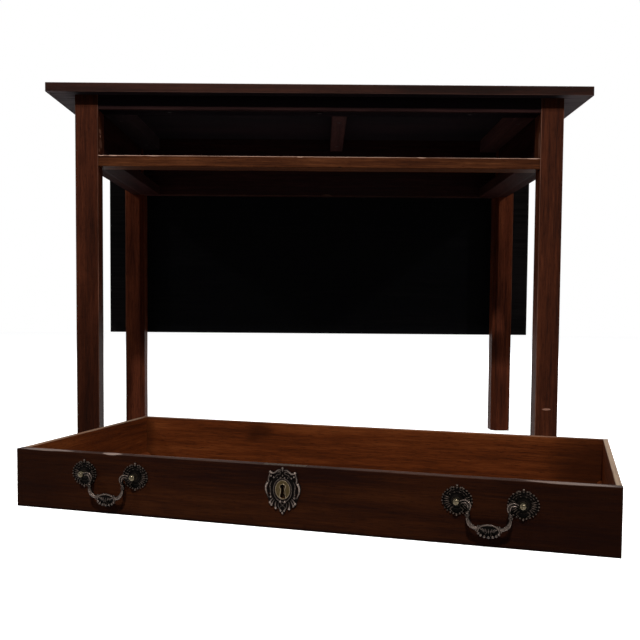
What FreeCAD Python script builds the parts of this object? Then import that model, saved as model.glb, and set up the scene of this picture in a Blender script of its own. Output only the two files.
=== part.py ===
import FreeCAD, Part

import math
import os
from types import SimpleNamespace

import Sketcher

# A drop-leaf writing table with one drawer, which stands on the floor in front of it, and one
# leaf, which hangs behind it. X runs along the front, Y to the back and Z up from the floor.
# Lengths are in millimetres and angles in degrees.
SIZES = {
    # Top and leaf
    "table_height": 740,
    "top_width": 1068,
    "top_depth": 500,
    "top_thickness": 18,
    "front_overhang": 22,
    "side_overhang": 51.6,
    "corner_round": 1.5,
    "arris": 1,
    "joint_fillet": 3,
    "joint_gap": 0.3,
    "leaf_length": 485,
    "leaf_to_leg_gap": 8,
    # Legs and rails
    "leg_width": 45,
    "leg_chamfer": 10,
    "rail_setback": 1.5,
    "rail_thickness": 20,
    "side_rail_inset": 19,
    "rail_height": 138.5,
    "front_rail_depth": 45,
    "upper_rail_thickness": 28,
    "lower_rail_thickness": 21.3,
    "tenon_length": 25,
    "tenon_thickness": 8,
    "tenon_top_shoulder": 15,
    "tenon_bottom_shoulder": 8,
    "tenon_gap": 1,
    "front_tenon_width": 14,
    "front_tenon_height": 13,
    "front_tenon_shoulder": 3,
    "rail_dovetail_length": 28,
    "rail_dovetail_thickness": 14,
    "rail_dovetail_root": 20,
    "rail_dovetail_end": 28,
    # Pieces that carry the drawer
    "runner_width": 40,
    "guide_height": 43,
    "middle_kicker_width": 29,
    "middle_kicker_offset": 41,
    "stop_length": 30,
    "stop_depth": 18,
    "stop_height": 4,
    "stop_inset": 187.4,
    # Leaf hinges
    "hinge_rise": 3.2,
    "hinge_width": 38,
    "hinge_inset": 134,
    "fixed_plate_length": 30,
    "moving_plate_length": 44,
    "plate_thickness": 2,
    "hinge_pin_radius": 1.5,
    "pin_clearance": 0.05,
    "knuckle_gap": 0.3,
    "hinge_recess_gap": 0.5,
    "hinge_screw_length": 12,
    "hinge_screw_spread": 12,
    "hinge_screw_edge": 8,
    # Brackets that swing out under the raised leaf
    "fly_thickness": 20,
    "fly_height": 55,
    "fly_inset": 117.4,
    "fly_bracket_length": 190,
    "fly_bracket_tip_height": 26,
    "fly_pin_radius": 3,
    "fly_gap": 0.4,
    # Screws
    "screw_radius": 2.2,
    "screw_head_radius": 4.2,
    "screw_head_height": 2.4,
    "screw_clearance": 0.1,
    "top_screw_grip": 10,
    "top_screw_inset": 137.4,
    "kicker_screw_inset": 60,
    "fly_screw_grip": 12,
    "small_screw_radius": 1.4,
    "small_screw_head_radius": 2.8,
    "small_screw_head_height": 1.6,
    # Drawer
    "drawer_depth": 403,
    "drawer_side_clearance": 1.5,
    "drawer_top_clearance": 0.8,
    "drawer_front_thickness": 14,
    "drawer_side_thickness": 8,
    "drawer_bottom_thickness": 6,
    "drawer_bottom_rise": 6,
    "drawer_lap": 4,
    "drawer_groove": 5,
    "drawer_edge_round": 1.5,
    "slip_width": 10,
    "slip_height": 18,
    "tail_taper": 2.2,
    "tail_space": 9,
    # Where the drawer stands on the floor
    "drawer_stand_left": 39.2,
    "drawer_stand_front": 503,
    "drawer_angle": 16.5,
    # Lock, escutcheon and keyhole
    "lock_left": 6,
    "lock_width": 62,
    "lock_height": 50,
    "lock_thickness": 8,
    "selvedge_thickness": 2,
    "selvedge_depth": 12,
    "bolt_width": 24,
    "bolt_thickness": 5,
    "bolt_height": 20,
    "bolt_throw": 8,
    "bolt_clearance": 0.2,
    "key_height": 60,
    "key_radius": 3.1,
    "key_slot_width": 4.4,
    "key_foot_width": 6.8,
    "key_slot_length": 16.4,
    "key_depth": 5,
    "escutcheon_width": 52,
    "escutcheon_height": 66,
    "escutcheon_thickness": 2.5,
    "escutcheon_centre": 54.3,
    "finial_radius": 2.6,
    "oval_width": 24,
    "oval_height": 28,
    "oval_thickness": 1.6,
    "oval_rise": 1,
    "piercing_radius": 2,
    "escutcheon_pin_radius": 0.8,
    "escutcheon_pin_head_radius": 1.4,
    "escutcheon_pin_head_height": 0.8,
    "escutcheon_pin_length": 5,
    # Drawer pulls
    "pull_inset": 160.9,
    "pull_spacing": 84,
    "pull_height": 58.5,
    "rosette_radius": 20,
    "rosette_thickness": 4.5,
    "rosette_dish": 1.6,
    "post_radius": 2.5,
    "post_reach": 11,
    "post_ball_radius": 5.1,
    "nut_radius": 6.5,
    "nut_thickness": 3,
    "bail_radius": 2.5,
    "bail_pin_radius": 1.5,
    "bail_gap": 0.4,
    "bail_arm": 5.4,
    "bail_shoulder_radius": 7,
    "bail_waist_angle": 15,
    "bail_waist_length": 6,
    "bail_drop": 35.5,
    "ornament_length": 29,
    "ornament_radius": 9,
    # How far a cut runs past the face it opens on
    "overrun": 2,
}

HINGE_PLACES = (-1, 0, 1)
SIDES = (("left", -1), ("right", 1))
TAILS = 3
KNUCKLES = 5
ESCUTCHEON_LOBES = 20
PIERCINGS = 8
ROSETTE_LOBES = 16
# How far in a lobe's centre lies from its chord, as a share of the chord
LOBE_SHARE = 0.15
# Radius and height of the rosette's turned face, from rim to middle
ROSETTE_RADIUS_SHARES = (0.84, 0.62, 0.40, 0.26)
ROSETTE_HEIGHT_SHARES = (0.62, 0.36, 0.62, 1.00)

doc = FreeCAD.newDocument("writing_table")
sheet = doc.addObject("Spreadsheet::Sheet", "Sizes")
for row, (name, value) in enumerate(SIZES.items(), start=1):
    sheet.set(f"A{row}", name)
    sheet.set(f"B{row}", str(value))
    sheet.setAlias(f"B{row}", name)
doc.recompute()


class Size:
    """A number with the formula it comes from, so that what uses it stays bound to the sheet."""

    def __init__(self, value, formula=None):
        self.value = value
        self.formula = formula or f"({value:.12g})"

    def joined(self, other, sign, value):
        return Size(value, f"({self.formula} {sign} {other.formula})")

    def __add__(self, other):
        other = as_size(other)
        return self.joined(other, "+", self.value + other.value)

    def __sub__(self, other):
        other = as_size(other)
        return self.joined(other, "-", self.value - other.value)

    def __mul__(self, other):
        other = as_size(other)
        return self.joined(other, "*", self.value * other.value)

    def __truediv__(self, other):
        other = as_size(other)
        return self.joined(other, "/", self.value / other.value)

    def __radd__(self, other):
        return as_size(other) + self

    def __rsub__(self, other):
        return as_size(other) - self

    def __rmul__(self, other):
        return as_size(other) * self

    def __neg__(self):
        return self * -1


def as_size(number):
    return number if isinstance(number, Size) else Size(number)


def root(size):
    return Size(math.sqrt(size.value), f"sqrt({size.formula})")


def sine(size):
    return Size(math.sin(math.radians(size.value)), f"sin({size.formula})")


def cosine(size):
    return Size(math.cos(math.radians(size.value)), f"cos({size.formula})")


s = SimpleNamespace(**{name: Size(value, f"Sizes.{name}") for name, value in SIZES.items()})
zero = Size(0)

# Levels and lines of the frame
underside = s.table_height - s.top_thickness
half_width = s.top_width / 2
leg_outer = half_width - s.side_overhang
leg_inner = leg_outer - s.leg_width
front_leg_back = s.front_overhang + s.leg_width
leaf_inner_face = s.top_depth - s.hinge_rise
back_leg_back = leaf_inner_face - s.leaf_to_leg_gap
back_leg_front = back_leg_back - s.leg_width
rails_bottom = underside - s.rail_height
front_rail_face = s.front_overhang + s.rail_setback
front_rail_back = front_rail_face + s.front_rail_depth
side_rail_outer = leg_outer - s.side_rail_inset
side_rail_inner = side_rail_outer - s.rail_thickness
side_tenon_inner = side_rail_inner + (s.rail_thickness - s.tenon_thickness) / 2
back_rail_face = back_leg_front + s.rail_setback
back_rail_back = back_rail_face + s.rail_thickness
opening_bottom = rails_bottom + s.lower_rail_thickness
opening_top = underside - s.upper_rail_thickness
hinge_offset = half_width - s.hinge_inset
top_screw_offset = leg_inner - s.top_screw_inset
stop_offset = leg_inner - s.stop_inset

# The rule joint between top and leaf turns about this line
hinge_level = underside + s.hinge_rise
ovolo_radius = s.top_thickness - s.hinge_rise - s.joint_fillet
cove_radius = ovolo_radius + s.joint_gap

# Drawer, in its own frame: X along its front, Y back from its face, Z up from its bottom edge
drawer_width = leg_inner * 2 - s.drawer_side_clearance * 2
drawer_height = opening_top - opening_bottom - s.drawer_top_clearance
drawer_half = drawer_width / 2
drawer_bottom_top = s.drawer_bottom_rise + s.drawer_bottom_thickness
slip_inner = drawer_half - s.drawer_side_thickness - s.slip_width
drawer_back_face = s.drawer_depth - s.drawer_side_thickness
keyhole_left = -s.lock_left
pull_half = s.pull_spacing / 2
pull_offset = drawer_half - s.pull_inset
post_level = -s.post_reach

# The origin is under the middle of the table and drawer together, on the floor
drawer_corner = s.arris * (sine(s.drawer_angle) + cosine(s.drawer_angle) - 1)
stand_front = -s.drawer_stand_front - drawer_half * sine(s.drawer_angle) + drawer_corner
stand_back = leaf_inner_face + s.top_thickness
table_place = (zero, -(stand_front + stand_back) / 2, zero)
drawer_place = (-s.drawer_stand_left, table_place[1] - s.drawer_stand_front, s.drawer_angle)

nodes = {}


class Outline:
    """A closed outline: its corners, and the arcs among its edges as centre and turn."""

    def __init__(self, corners, arcs=None):
        self.corners = [(as_size(x), as_size(y)) for x, y in corners]
        self.arcs = arcs or {}

    def draw(self, sketch):
        first = sketch.GeometryCount
        count = len(self.corners)
        ends = []
        for index, start in enumerate(self.corners):
            stop = self.corners[(index + 1) % count]
            ends.append(self.draw_edge(sketch, index, start, stop))
        for index, (x, y) in enumerate(self.corners):
            before = first + (index - 1) % count
            here = first + index
            sketch.addConstraint(
                Sketcher.Constraint("Coincident", before, ends[index - 1][1], here, ends[index][0])
            )
            pin_point(sketch, here, ends[index][0], x, y)

    def draw_edge(self, sketch, index, start, stop):
        a, b = (FreeCAD.Vector(x.value, y.value, 0) for x, y in (start, stop))
        if index not in self.arcs:
            sketch.addGeometry(Part.LineSegment(a, b), False)
            return 1, 2
        centre_x, centre_y, turn = self.arcs[index]
        across, up = start[0] - centre_x, start[1] - centre_y
        radius = root(across * across + up * up)
        centre = FreeCAD.Vector(as_size(centre_x).value, as_size(centre_y).value, 0)
        low, high = (a, b) if turn > 0 else (b, a)
        angles = [math.atan2(point.y - centre.y, point.x - centre.x) for point in (low, high)]
        full = Part.Circle(centre, FreeCAD.Vector(0, 0, 1), radius.value)
        edge = sketch.addGeometry(Part.ArcOfCircle(full, angles[0], angles[1]), False)
        constraint = sketch.addConstraint(Sketcher.Constraint("Radius", edge, radius.value))
        sketch.setExpression(f"Constraints[{constraint}]", radius.formula)
        return (1, 2) if turn > 0 else (2, 1)


class Circle:
    """A circle given by its centre and radius."""

    def __init__(self, x, y, radius):
        self.x, self.y, self.radius = as_size(x), as_size(y), as_size(radius)

    def draw(self, sketch):
        centre = FreeCAD.Vector(self.x.value, self.y.value, 0)
        full = Part.Circle(centre, FreeCAD.Vector(0, 0, 1), self.radius.value)
        edge = sketch.addGeometry(full, False)
        constraint = sketch.addConstraint(Sketcher.Constraint("Radius", edge, self.radius.value))
        sketch.setExpression(f"Constraints[{constraint}]", self.radius.formula)
        pin_point(sketch, edge, 3, self.x, self.y)


def rectangle(x0, y0, x1, y1):
    return Outline([(x0, y0), (x1, y0), (x1, y1), (x0, y1)])


def pin_point(sketch, edge, end, x, y):
    """Ties one point of a sketch to its place."""
    for kind, size in (("DistanceX", x), ("DistanceY", y)):
        constraint = sketch.addConstraint(Sketcher.Constraint(kind, edge, end, size.value))
        sketch.setExpression(f"Constraints[{constraint}]", size.formula)


def new_body(label, place=table_place):
    """Starts a piece, set down with the table or, for the drawer's pieces, with the drawer."""
    body = doc.addObject("PartDesign::Body", label)
    body.Label = label
    set_down(body, place)
    nodes[label] = body
    return body


def set_down(piece, place):
    if place is drawer_place:
        turn = FreeCAD.Rotation(FreeCAD.Vector(0, 0, -1), place[2].value)
        piece.Placement = FreeCAD.Placement(FreeCAD.Vector(place[0].value, place[1].value, 0), turn)
        piece.setExpression("Placement.Rotation.Angle", place[2].formula)
    else:
        piece.Placement.Base = FreeCAD.Vector(place[0].value, place[1].value, 0)
    piece.setExpression("Placement.Base.x", place[0].formula)
    piece.setExpression("Placement.Base.y", place[1].formula)


def sketch_in(body, plane, level, shapes, at=(zero, zero)):
    """Draws shapes on one of a body's own planes, at a level along the plane's axis."""
    sign = -1 if plane == "XZ" else 1
    support = next(item for item in body.Origin.OriginFeatures if item.Role == plane + "_Plane")
    sketch = body.newObject("Sketcher::SketchObject", body.Name + "_outline")
    sketch.AttachmentSupport = [(support, "")]
    sketch.MapMode = "FlatFace"
    for axis, size in zip("xyz", (at[0], at[1], as_size(level) * sign)):
        sketch.setExpression(f"AttachmentOffset.Base.{axis}", size.formula)
    for shape in shapes:
        shape.draw(sketch)
    doc.recompute()
    return sketch


def pad(body, plane, level, length, *shapes):
    """Adds material from a level, along the plane's axis."""
    sketch = sketch_in(body, plane, level, shapes)
    feature = body.newObject("PartDesign::Pad", body.Name + "_pad")
    feature.Profile = sketch
    feature.Reversed = plane == "XZ"
    feature.setExpression("Length", as_size(length).formula)
    doc.recompute()
    return feature


def pocket(body, plane, level, length, *shapes):
    """Cuts material away from a level, along the plane's axis."""
    before = body.Shape.Volume
    sketch = sketch_in(body, plane, level, shapes)
    feature = body.newObject("PartDesign::Pocket", body.Name + "_pocket")
    feature.Profile = sketch
    feature.Reversed = plane != "XZ"
    feature.setExpression("Length", as_size(length).formula)
    doc.recompute()
    check_cut(body, before)
    return feature


def cut_box(body, x0, y0, z0, x1, y1, z1):
    return pocket(body, "XY", z0, z1 - z0, rectangle(x0, y0, x1, y1))


def turned(body, kind, plane, axis, shapes, level=zero, at=(zero, zero)):
    """Turns shapes about an axis of their sketch, as a Revolution or a Groove."""
    before = body.Shape.Volume if kind == "Groove" else 0
    sketch = sketch_in(body, plane, level, shapes, at)
    feature = body.newObject("PartDesign::" + kind, body.Name + "_" + kind.lower())
    feature.Profile = sketch
    feature.ReferenceAxis = (sketch, [axis])
    doc.recompute()
    if kind == "Groove":
        check_cut(body, before)
    return feature


def check_cut(body, before):
    if body.Shape.Volume >= before:
        raise RuntimeError(f"a cut in {body.Label} removed nothing")


def round_edges(body, radius, chosen):
    """Rounds the edges of a body that the test chooses."""
    tip = body.Tip
    names = [f"Edge{i}" for i, edge in enumerate(tip.Shape.Edges, start=1) if chosen(edge)]
    if not names:
        raise RuntimeError(f"no edge to round on {body.Label}")
    feature = body.newObject("PartDesign::Fillet", body.Name + "_round")
    feature.Base = (tip, names)
    feature.setExpression("Radius", radius.formula)
    doc.recompute()
    return feature


def near(a, b):
    return abs(a - as_size(b).value) < 1e-4


def runs_along(edge, axis):
    """True for a straight edge along X, Y or Z (0, 1 or 2)."""
    ends = [vertex.Point for vertex in edge.Vertexes]
    if len(ends) != 2:
        return False
    return all(near(ends[0][other], ends[1][other]) for other in range(3) if other != axis)


def flat_at(edge, axis, size):
    """True for an edge that lies wholly at one place along X, Y or Z."""
    box = edge.BoundBox
    low, high = ((box.XMin, box.XMax), (box.YMin, box.YMax), (box.ZMin, box.ZMax))[axis]
    return near(low, size) and near(high, size)


def group(label, place, master, spots):
    """Sets copies of one small piece at its spots, as one node of separate solids."""
    feature = doc.addObject("Part::Feature", label)
    copies = []
    for x, y, z, turn in spots:
        copy = master.Shape.copy()
        copy.Placement = FreeCAD.Placement(
            FreeCAD.Vector(*(as_size(size).value for size in (x, y, z))), turn
        )
        copies.append(copy)
    feature.Shape = Part.makeCompound(copies)
    feature.Label = label
    set_down(feature, place)
    nodes[label] = feature
    return feature


UPRIGHT = FreeCAD.Rotation()
INTO_FRONT = FreeCAD.Rotation(FreeCAD.Vector(1, 0, 0), -90)
FROM_BEHIND = FreeCAD.Rotation(FreeCAD.Vector(1, 0, 0), 90)


def screw(name, radius, head_radius, head_height, length):
    """One countersunk screw, head down and point up."""
    body = doc.addObject("PartDesign::Body", name)
    profile = Outline([
        (0, 0),
        (head_radius, 0),
        (radius, head_height),
        (radius, length - radius),
        (0, length),
    ])
    turned(body, "Revolution", "XZ", "V_Axis", [profile])
    return body


# Places of the screws that hold the top down, on the upper front rail and the kickers
side_kicker_middle = leg_inner - s.runner_width / 2
kicker_screw_ends = (front_rail_back + s.kicker_screw_inset, back_rail_face - s.kicker_screw_inset)
rail_screw_spots = [
    (top_screw_offset * place, front_rail_face + s.front_rail_depth / 2) for place in HINGE_PLACES
]
kicker_lines = {
    "left": -side_kicker_middle,
    "middle": s.middle_kicker_offset,
    "right": side_kicker_middle,
}
kicker_screw_spots = [(x, y) for x in kicker_lines.values() for y in kicker_screw_ends]
screw_hole = s.screw_radius + s.screw_clearance
head_hole = s.screw_head_radius + s.screw_clearance
small_hole = s.small_screw_radius + s.screw_clearance


def plate_screw_spots(length):
    """Places of a hinge plate's three screws, as X from its middle and distance from its pin."""
    far = length - s.hinge_screw_edge
    near_pin = (length + s.hinge_screw_edge) / 2
    return [(-s.hinge_screw_spread, far), (zero, near_pin), (s.hinge_screw_spread, far)]


def drill_for_screws(body, spots, level):
    """Drills a clearance hole and a seat for the head at each spot, from below."""
    holes = [Circle(x, y, screw_hole) for x, y in spots]
    seats = [Circle(x, y, head_hole) for x, y in spots]
    pocket(body, "XY", level - s.overrun, underside - level + s.overrun * 2, *holes)
    pocket(body, "XY", level - s.overrun, s.screw_head_height + s.screw_clearance + s.overrun, *seats)


def make_table_top():
    body = new_body("table_top")
    foot = root(ovolo_radius * ovolo_radius - s.hinge_rise * s.hinge_rise)
    profile = Outline(
        [
            (0, underside),
            (s.top_depth + foot, underside),
            (s.top_depth, hinge_level + ovolo_radius),
            (s.top_depth, s.table_height),
            (0, s.table_height),
        ],
        {1: (s.top_depth, hinge_level, 1)},
    )
    pad(body, "YZ", -half_width, s.top_width, profile)
    round_edges(body, s.corner_round, lambda edge: runs_along(edge, 2) and near(edge.CenterOfMass.y, 0))
    before_joint = s.top_depth.value
    round_edges(
        body,
        s.arris,
        lambda edge: (flat_at(edge, 2, s.table_height) or flat_at(edge, 2, underside))
        and edge.BoundBox.YMin < before_joint - 1,
    )
    cut_hinge_seats(body)
    depth = s.top_screw_grip + s.overrun * 2
    holes = [Circle(x, y, screw_hole) for x, y in rail_screw_spots + kicker_screw_spots]
    pocket(body, "XY", underside - s.overrun, depth, *holes)
    small = [
        Circle(hinge_offset * place + x, s.top_depth - y, small_hole)
        for place in HINGE_PLACES
        for x, y in plate_screw_spots(s.fixed_plate_length)
    ]
    pocket(body, "XY", underside - s.overrun, s.hinge_screw_length + s.overrun * 2, *small)


def cut_hinge_seats(body):
    """Sinks each hinge into the underside: its plate, its barrel and the sweep of its moving plate."""
    half = s.hinge_width / 2
    seats, sweeps = [], []
    for place in HINGE_PLACES:
        middle = hinge_offset * place
        left, right = middle - half, middle + half
        seats.append(rectangle(left, s.top_depth - s.fixed_plate_length, right, s.top_depth))
        sweeps.append(rectangle(
            left - s.hinge_recess_gap,
            s.top_depth - s.hinge_rise - s.hinge_recess_gap,
            right + s.hinge_recess_gap,
            s.top_depth + s.top_thickness,
        ))
    pocket(body, "XY", underside - s.overrun, s.plate_thickness + s.overrun, *seats)
    pocket(body, "XY", underside - s.overrun, s.hinge_rise + s.overrun, *sweeps)
    for place in HINGE_PLACES:
        start = hinge_offset * place - half - s.hinge_recess_gap
        barrel = Circle(s.top_depth, hinge_level, s.hinge_rise + s.hinge_recess_gap)
        pocket(body, "YZ", start, s.hinge_width + s.hinge_recess_gap * 2, barrel)


def make_drop_leaf():
    """The leaf, hanging, with the cove that turns about the top's ovolo."""
    body = new_body("drop_leaf")
    lip = root(cove_radius * cove_radius - s.joint_gap * s.joint_gap)
    throat = root(cove_radius * cove_radius - s.hinge_rise * s.hinge_rise)
    outer = leaf_inner_face + s.top_thickness
    bottom = hinge_level - s.leaf_length
    profile = Outline(
        [
            (leaf_inner_face, hinge_level - throat),
            (leaf_inner_face, bottom),
            (outer, bottom),
            (outer, hinge_level - s.joint_gap),
            (s.top_depth + lip, hinge_level - s.joint_gap),
        ],
        {4: (s.top_depth, hinge_level, -1)},
    )
    pad(body, "YZ", -half_width, s.top_width, profile)
    round_edges(body, s.corner_round, lambda edge: runs_along(edge, 1) and near(edge.CenterOfMass.z, bottom))
    round_edges(body, s.arris, lambda edge: flat_at(edge, 1, outer) and edge.BoundBox.ZMin < bottom.value + 1)
    half = s.hinge_width / 2
    seats, holes = [], []
    for place in HINGE_PLACES:
        middle = hinge_offset * place
        low = hinge_level - s.moving_plate_length
        seats.append(rectangle(middle - half, low, middle + half, hinge_level))
        for x, down in plate_screw_spots(s.moving_plate_length):
            holes.append(Circle(middle + x, hinge_level - down, small_hole))
    pocket(body, "XZ", leaf_inner_face - s.overrun, s.plate_thickness + s.overrun, *seats)
    pocket(body, "XZ", leaf_inner_face - s.overrun, s.hinge_screw_length + s.overrun * 2, *holes)


def make_legs():
    for name, side in SIDES:
        for end, face in (("front", s.front_overhang), ("back", back_leg_front)):
            body = new_body(f"{end}_leg_{name}")
            inner, outer = leg_inner * side, leg_outer * side
            pad(body, "XY", zero, underside, rectangle(inner, face, outer, face + s.leg_width))
            chamfer_leg(body, side, end, face)
            cut_side_mortise(body, side, end)
            if end == "front":
                cut_front_rail_seats(body, side)
            else:
                back = back_rail_face + (s.rail_thickness - s.tenon_thickness) / 2
                cut_box(
                    body,
                    (leg_inner - s.overrun) * side,
                    back,
                    rails_bottom + s.tenon_bottom_shoulder,
                    (side_tenon_inner - s.tenon_gap) * side,
                    back + s.tenon_thickness,
                    underside - s.tenon_top_shoulder,
                )
            arrises = (outer, face if end == "front" else face + s.leg_width)
            round_edges(body, s.arris, lambda edge: leg_arris(edge, arrises))


def leg_arris(edge, corner):
    """Chooses the leg's long outer corner and the edges round its foot."""
    along = runs_along(edge, 2) and near(edge.CenterOfMass.x, corner[0]) and near(edge.CenterOfMass.y, corner[1])
    return along or flat_at(edge, 2, 0)


def chamfer_leg(body, side, end, face):
    """Takes off the inside corner below the rails."""
    towards = -1 if end == "front" else 1
    corner_y = face + s.leg_width if end == "front" else face
    x, reach = leg_inner * side, s.leg_chamfer + s.overrun
    triangle = Outline([
        (x - s.overrun * side, corner_y - s.overrun * towards),
        (x + reach * side, corner_y - s.overrun * towards),
        (x - s.overrun * side, corner_y + reach * towards),
    ])
    pocket(body, "XY", -s.overrun, rails_bottom + s.overrun, triangle)


def cut_side_mortise(body, side, end):
    start, stop = front_leg_back - s.tenon_length, front_leg_back + s.overrun
    if end == "back":
        start, stop = back_leg_front - s.overrun, back_leg_front + s.tenon_length
    cut_box(
        body,
        side_tenon_inner * side,
        start,
        rails_bottom + s.tenon_bottom_shoulder,
        (side_tenon_inner + s.tenon_thickness) * side,
        stop,
        underside - s.tenon_top_shoulder,
    )


def front_tenon_box(side, length):
    """Corners of the lower front rail's tenon, as low X, Y, Z and high X, Y, Z."""
    near_face = front_rail_face + s.front_tenon_shoulder
    middle = rails_bottom + s.lower_rail_thickness / 2
    return (
        (leg_inner - s.overrun) * side,
        near_face,
        middle - s.front_tenon_height / 2,
        (leg_inner + length) * side,
        near_face + s.front_tenon_width,
        middle + s.front_tenon_height / 2,
    )


def rail_dovetail(side):
    """Outline of the dovetail that holds the upper front rail down on a leg."""
    middle = front_rail_face + s.front_rail_depth / 2
    inner = (leg_inner - s.overrun) * side
    shoulder, end = leg_inner * side, (leg_inner + s.rail_dovetail_length) * side
    narrow, wide = s.rail_dovetail_root / 2, s.rail_dovetail_end / 2
    return Outline([
        (inner, middle - narrow),
        (shoulder, middle - narrow),
        (end, middle - wide),
        (end, middle + wide),
        (shoulder, middle + narrow),
        (inner, middle + narrow),
    ])


def cut_front_rail_seats(body, side):
    cut_box(body, *front_tenon_box(side, s.tenon_length))
    depth = s.rail_dovetail_thickness + s.overrun
    pocket(body, "XY", underside - s.rail_dovetail_thickness, depth, rail_dovetail(side))


def make_front_rails():
    board = rectangle(-leg_inner, front_rail_face, leg_inner, front_rail_back)
    lower = new_body("lower_front_rail")
    pad(lower, "XY", rails_bottom, s.lower_rail_thickness, board)
    for _, side in SIDES:
        x0, y0, z0, x1, y1, z1 = front_tenon_box(side, s.tenon_length)
        pad(lower, "XY", z0, z1 - z0, rectangle(x0, y0, x1, y1))
    front_arris = lambda edge: runs_along(edge, 0) and near(edge.CenterOfMass.y, front_rail_face)
    round_edges(lower, s.arris, front_arris)
    upper = new_body("upper_front_rail")
    pad(upper, "XY", opening_top, s.upper_rail_thickness, board)
    for _, side in SIDES:
        thickness = s.rail_dovetail_thickness
        pad(upper, "XY", underside - thickness, thickness, rail_dovetail(side))
    drill_for_screws(upper, rail_screw_spots, opening_top)
    cut_bolt_mortise(upper)
    round_edges(
        upper,
        s.arris,
        lambda edge: front_arris(edge) and near(edge.CenterOfMass.z, opening_top),
    )


def cut_bolt_mortise(rail):
    """The pocket over the drawer's lock, which the raised bolt enters."""
    half = s.bolt_width / 2 + s.bolt_clearance * 2
    middle = front_rail_face + s.drawer_front_thickness - s.lock_thickness / 2
    across = s.bolt_thickness / 2 + s.bolt_clearance * 2
    cut_box(
        rail,
        keyhole_left - half,
        middle - across,
        opening_top - s.overrun,
        keyhole_left + half,
        middle + across,
        opening_top + s.bolt_throw,
    )


def make_side_rails():
    for name, side in SIDES:
        body = new_body(f"side_rail_{name}")
        inner, outer = side_rail_inner * side, side_rail_outer * side
        board = rectangle(inner, front_leg_back, outer, back_leg_front)
        pad(body, "XY", rails_bottom, s.rail_height, board)
        tenon = rectangle(
            side_tenon_inner * side,
            front_leg_back - s.tenon_length,
            (side_tenon_inner + s.tenon_thickness) * side,
            back_leg_front + s.tenon_length,
        )
        bottom = rails_bottom + s.tenon_bottom_shoulder
        pad(body, "XY", bottom, underside - s.tenon_top_shoulder - bottom, tenon)


def make_back_rail():
    body = new_body("back_rail")
    board = rectangle(-leg_inner, back_rail_face, leg_inner, back_rail_back)
    pad(body, "XY", rails_bottom, s.rail_height, board)
    face = back_rail_face + (s.rail_thickness - s.tenon_thickness) / 2
    end = side_tenon_inner - s.tenon_gap
    bottom = rails_bottom + s.tenon_bottom_shoulder
    tenon = rectangle(-end, face, end, face + s.tenon_thickness)
    pad(body, "XY", bottom, underside - s.tenon_top_shoulder - bottom, tenon)
    holes = [Circle(x, z, screw_hole) for x, z in fly_screw_spots()]
    start = back_rail_back - s.fly_screw_grip - s.overrun
    pocket(body, "XZ", start, s.fly_screw_grip + s.overrun * 2, *holes)


def make_drawer_supports():
    """Runners and guides under and beside the drawer, kickers over it, and its stops."""
    length_of_run = (front_rail_back, back_rail_face)
    for name, side in SIDES:
        outer, inner = leg_inner * side, (leg_inner - s.runner_width) * side
        runner = new_body(f"drawer_runner_{name}")
        pad(runner, "XY", rails_bottom, s.lower_rail_thickness, rectangle(inner, length_of_run[0], outer, length_of_run[1]))
        guide = new_body(f"drawer_guide_{name}")
        strip = rectangle(outer, front_leg_back, side_rail_inner * side, back_leg_front)
        pad(guide, "XY", rails_bottom, s.guide_height, strip)
    widths = {"left": s.runner_width, "middle": s.middle_kicker_width, "right": s.runner_width}
    for name, middle in kicker_lines.items():
        kicker = new_body(f"kicker_{name}")
        half = widths[name] / 2
        board = rectangle(middle - half, length_of_run[0], middle + half, length_of_run[1])
        pad(kicker, "XY", opening_top, s.upper_rail_thickness, board)
        drill_for_screws(kicker, [(middle, y) for y in kicker_screw_ends], opening_top)
    block = doc.addObject("PartDesign::Body", "one_stop")
    pad(block, "XY", zero, s.stop_height, rectangle(-s.stop_length / 2, 0, s.stop_length / 2, s.stop_depth))
    behind_front = front_rail_face + s.drawer_front_thickness + s.joint_gap
    spots = [(stop_offset * side, behind_front, opening_bottom, UPRIGHT) for _, side in SIDES]
    group("drawer_stops", table_place, block, spots)


fly_barrel = s.fly_thickness / 2
fly_axis_y = back_rail_back + fly_barrel
fly_axis_x = leg_inner - s.fly_inset - s.fly_bracket_length
fly_fixed_half = fly_axis_x - fly_barrel
fly_bottom = underside - s.fly_height
fly_finger = s.fly_height / KNUCKLES


def fly_screw_spots():
    """Places of the screws that hold the fixed part of the fly rail, as X and Z."""
    x, rise = fly_fixed_half / 2, s.fly_height / 4
    return [(x * a, fly_bottom + s.fly_height / 2 + rise * b) for a in (-1, 1) for b in (-1, 1)]


def add_fingers(body, side, fingers, shoulder):
    """Adds the round-nosed fingers of a wooden knuckle joint to one board."""
    centre = fly_axis_x * side
    start, stop = back_rail_back, back_rail_back + s.fly_thickness
    turn = side if shoulder is fly_shoulder_in else -side
    for finger in fingers:
        gap_below = zero if finger == 0 else s.fly_gap / 2
        gap_above = zero if finger == KNUCKLES - 1 else s.fly_gap / 2
        nose = centre + fly_barrel * turn
        outline = Outline(
            [
                (shoulder * side, start),
                (centre, start),
                (nose, fly_axis_y),
                (centre, stop),
                (shoulder * side, stop),
            ],
            {1: (centre, fly_axis_y, turn), 2: (centre, fly_axis_y, turn)},
        )
        low = fly_bottom + fly_finger * finger + gap_below
        pad(body, "XY", low, fly_finger - gap_below - gap_above, outline)
    hole = Circle(centre, fly_axis_y, s.fly_pin_radius + s.pin_clearance)
    pocket(body, "XY", fly_bottom - s.overrun, s.fly_height + s.overrun * 2, hole)


fly_shoulder_in = fly_axis_x - fly_barrel - s.fly_gap
fly_shoulder_out = fly_axis_x + fly_barrel + s.fly_gap


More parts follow.
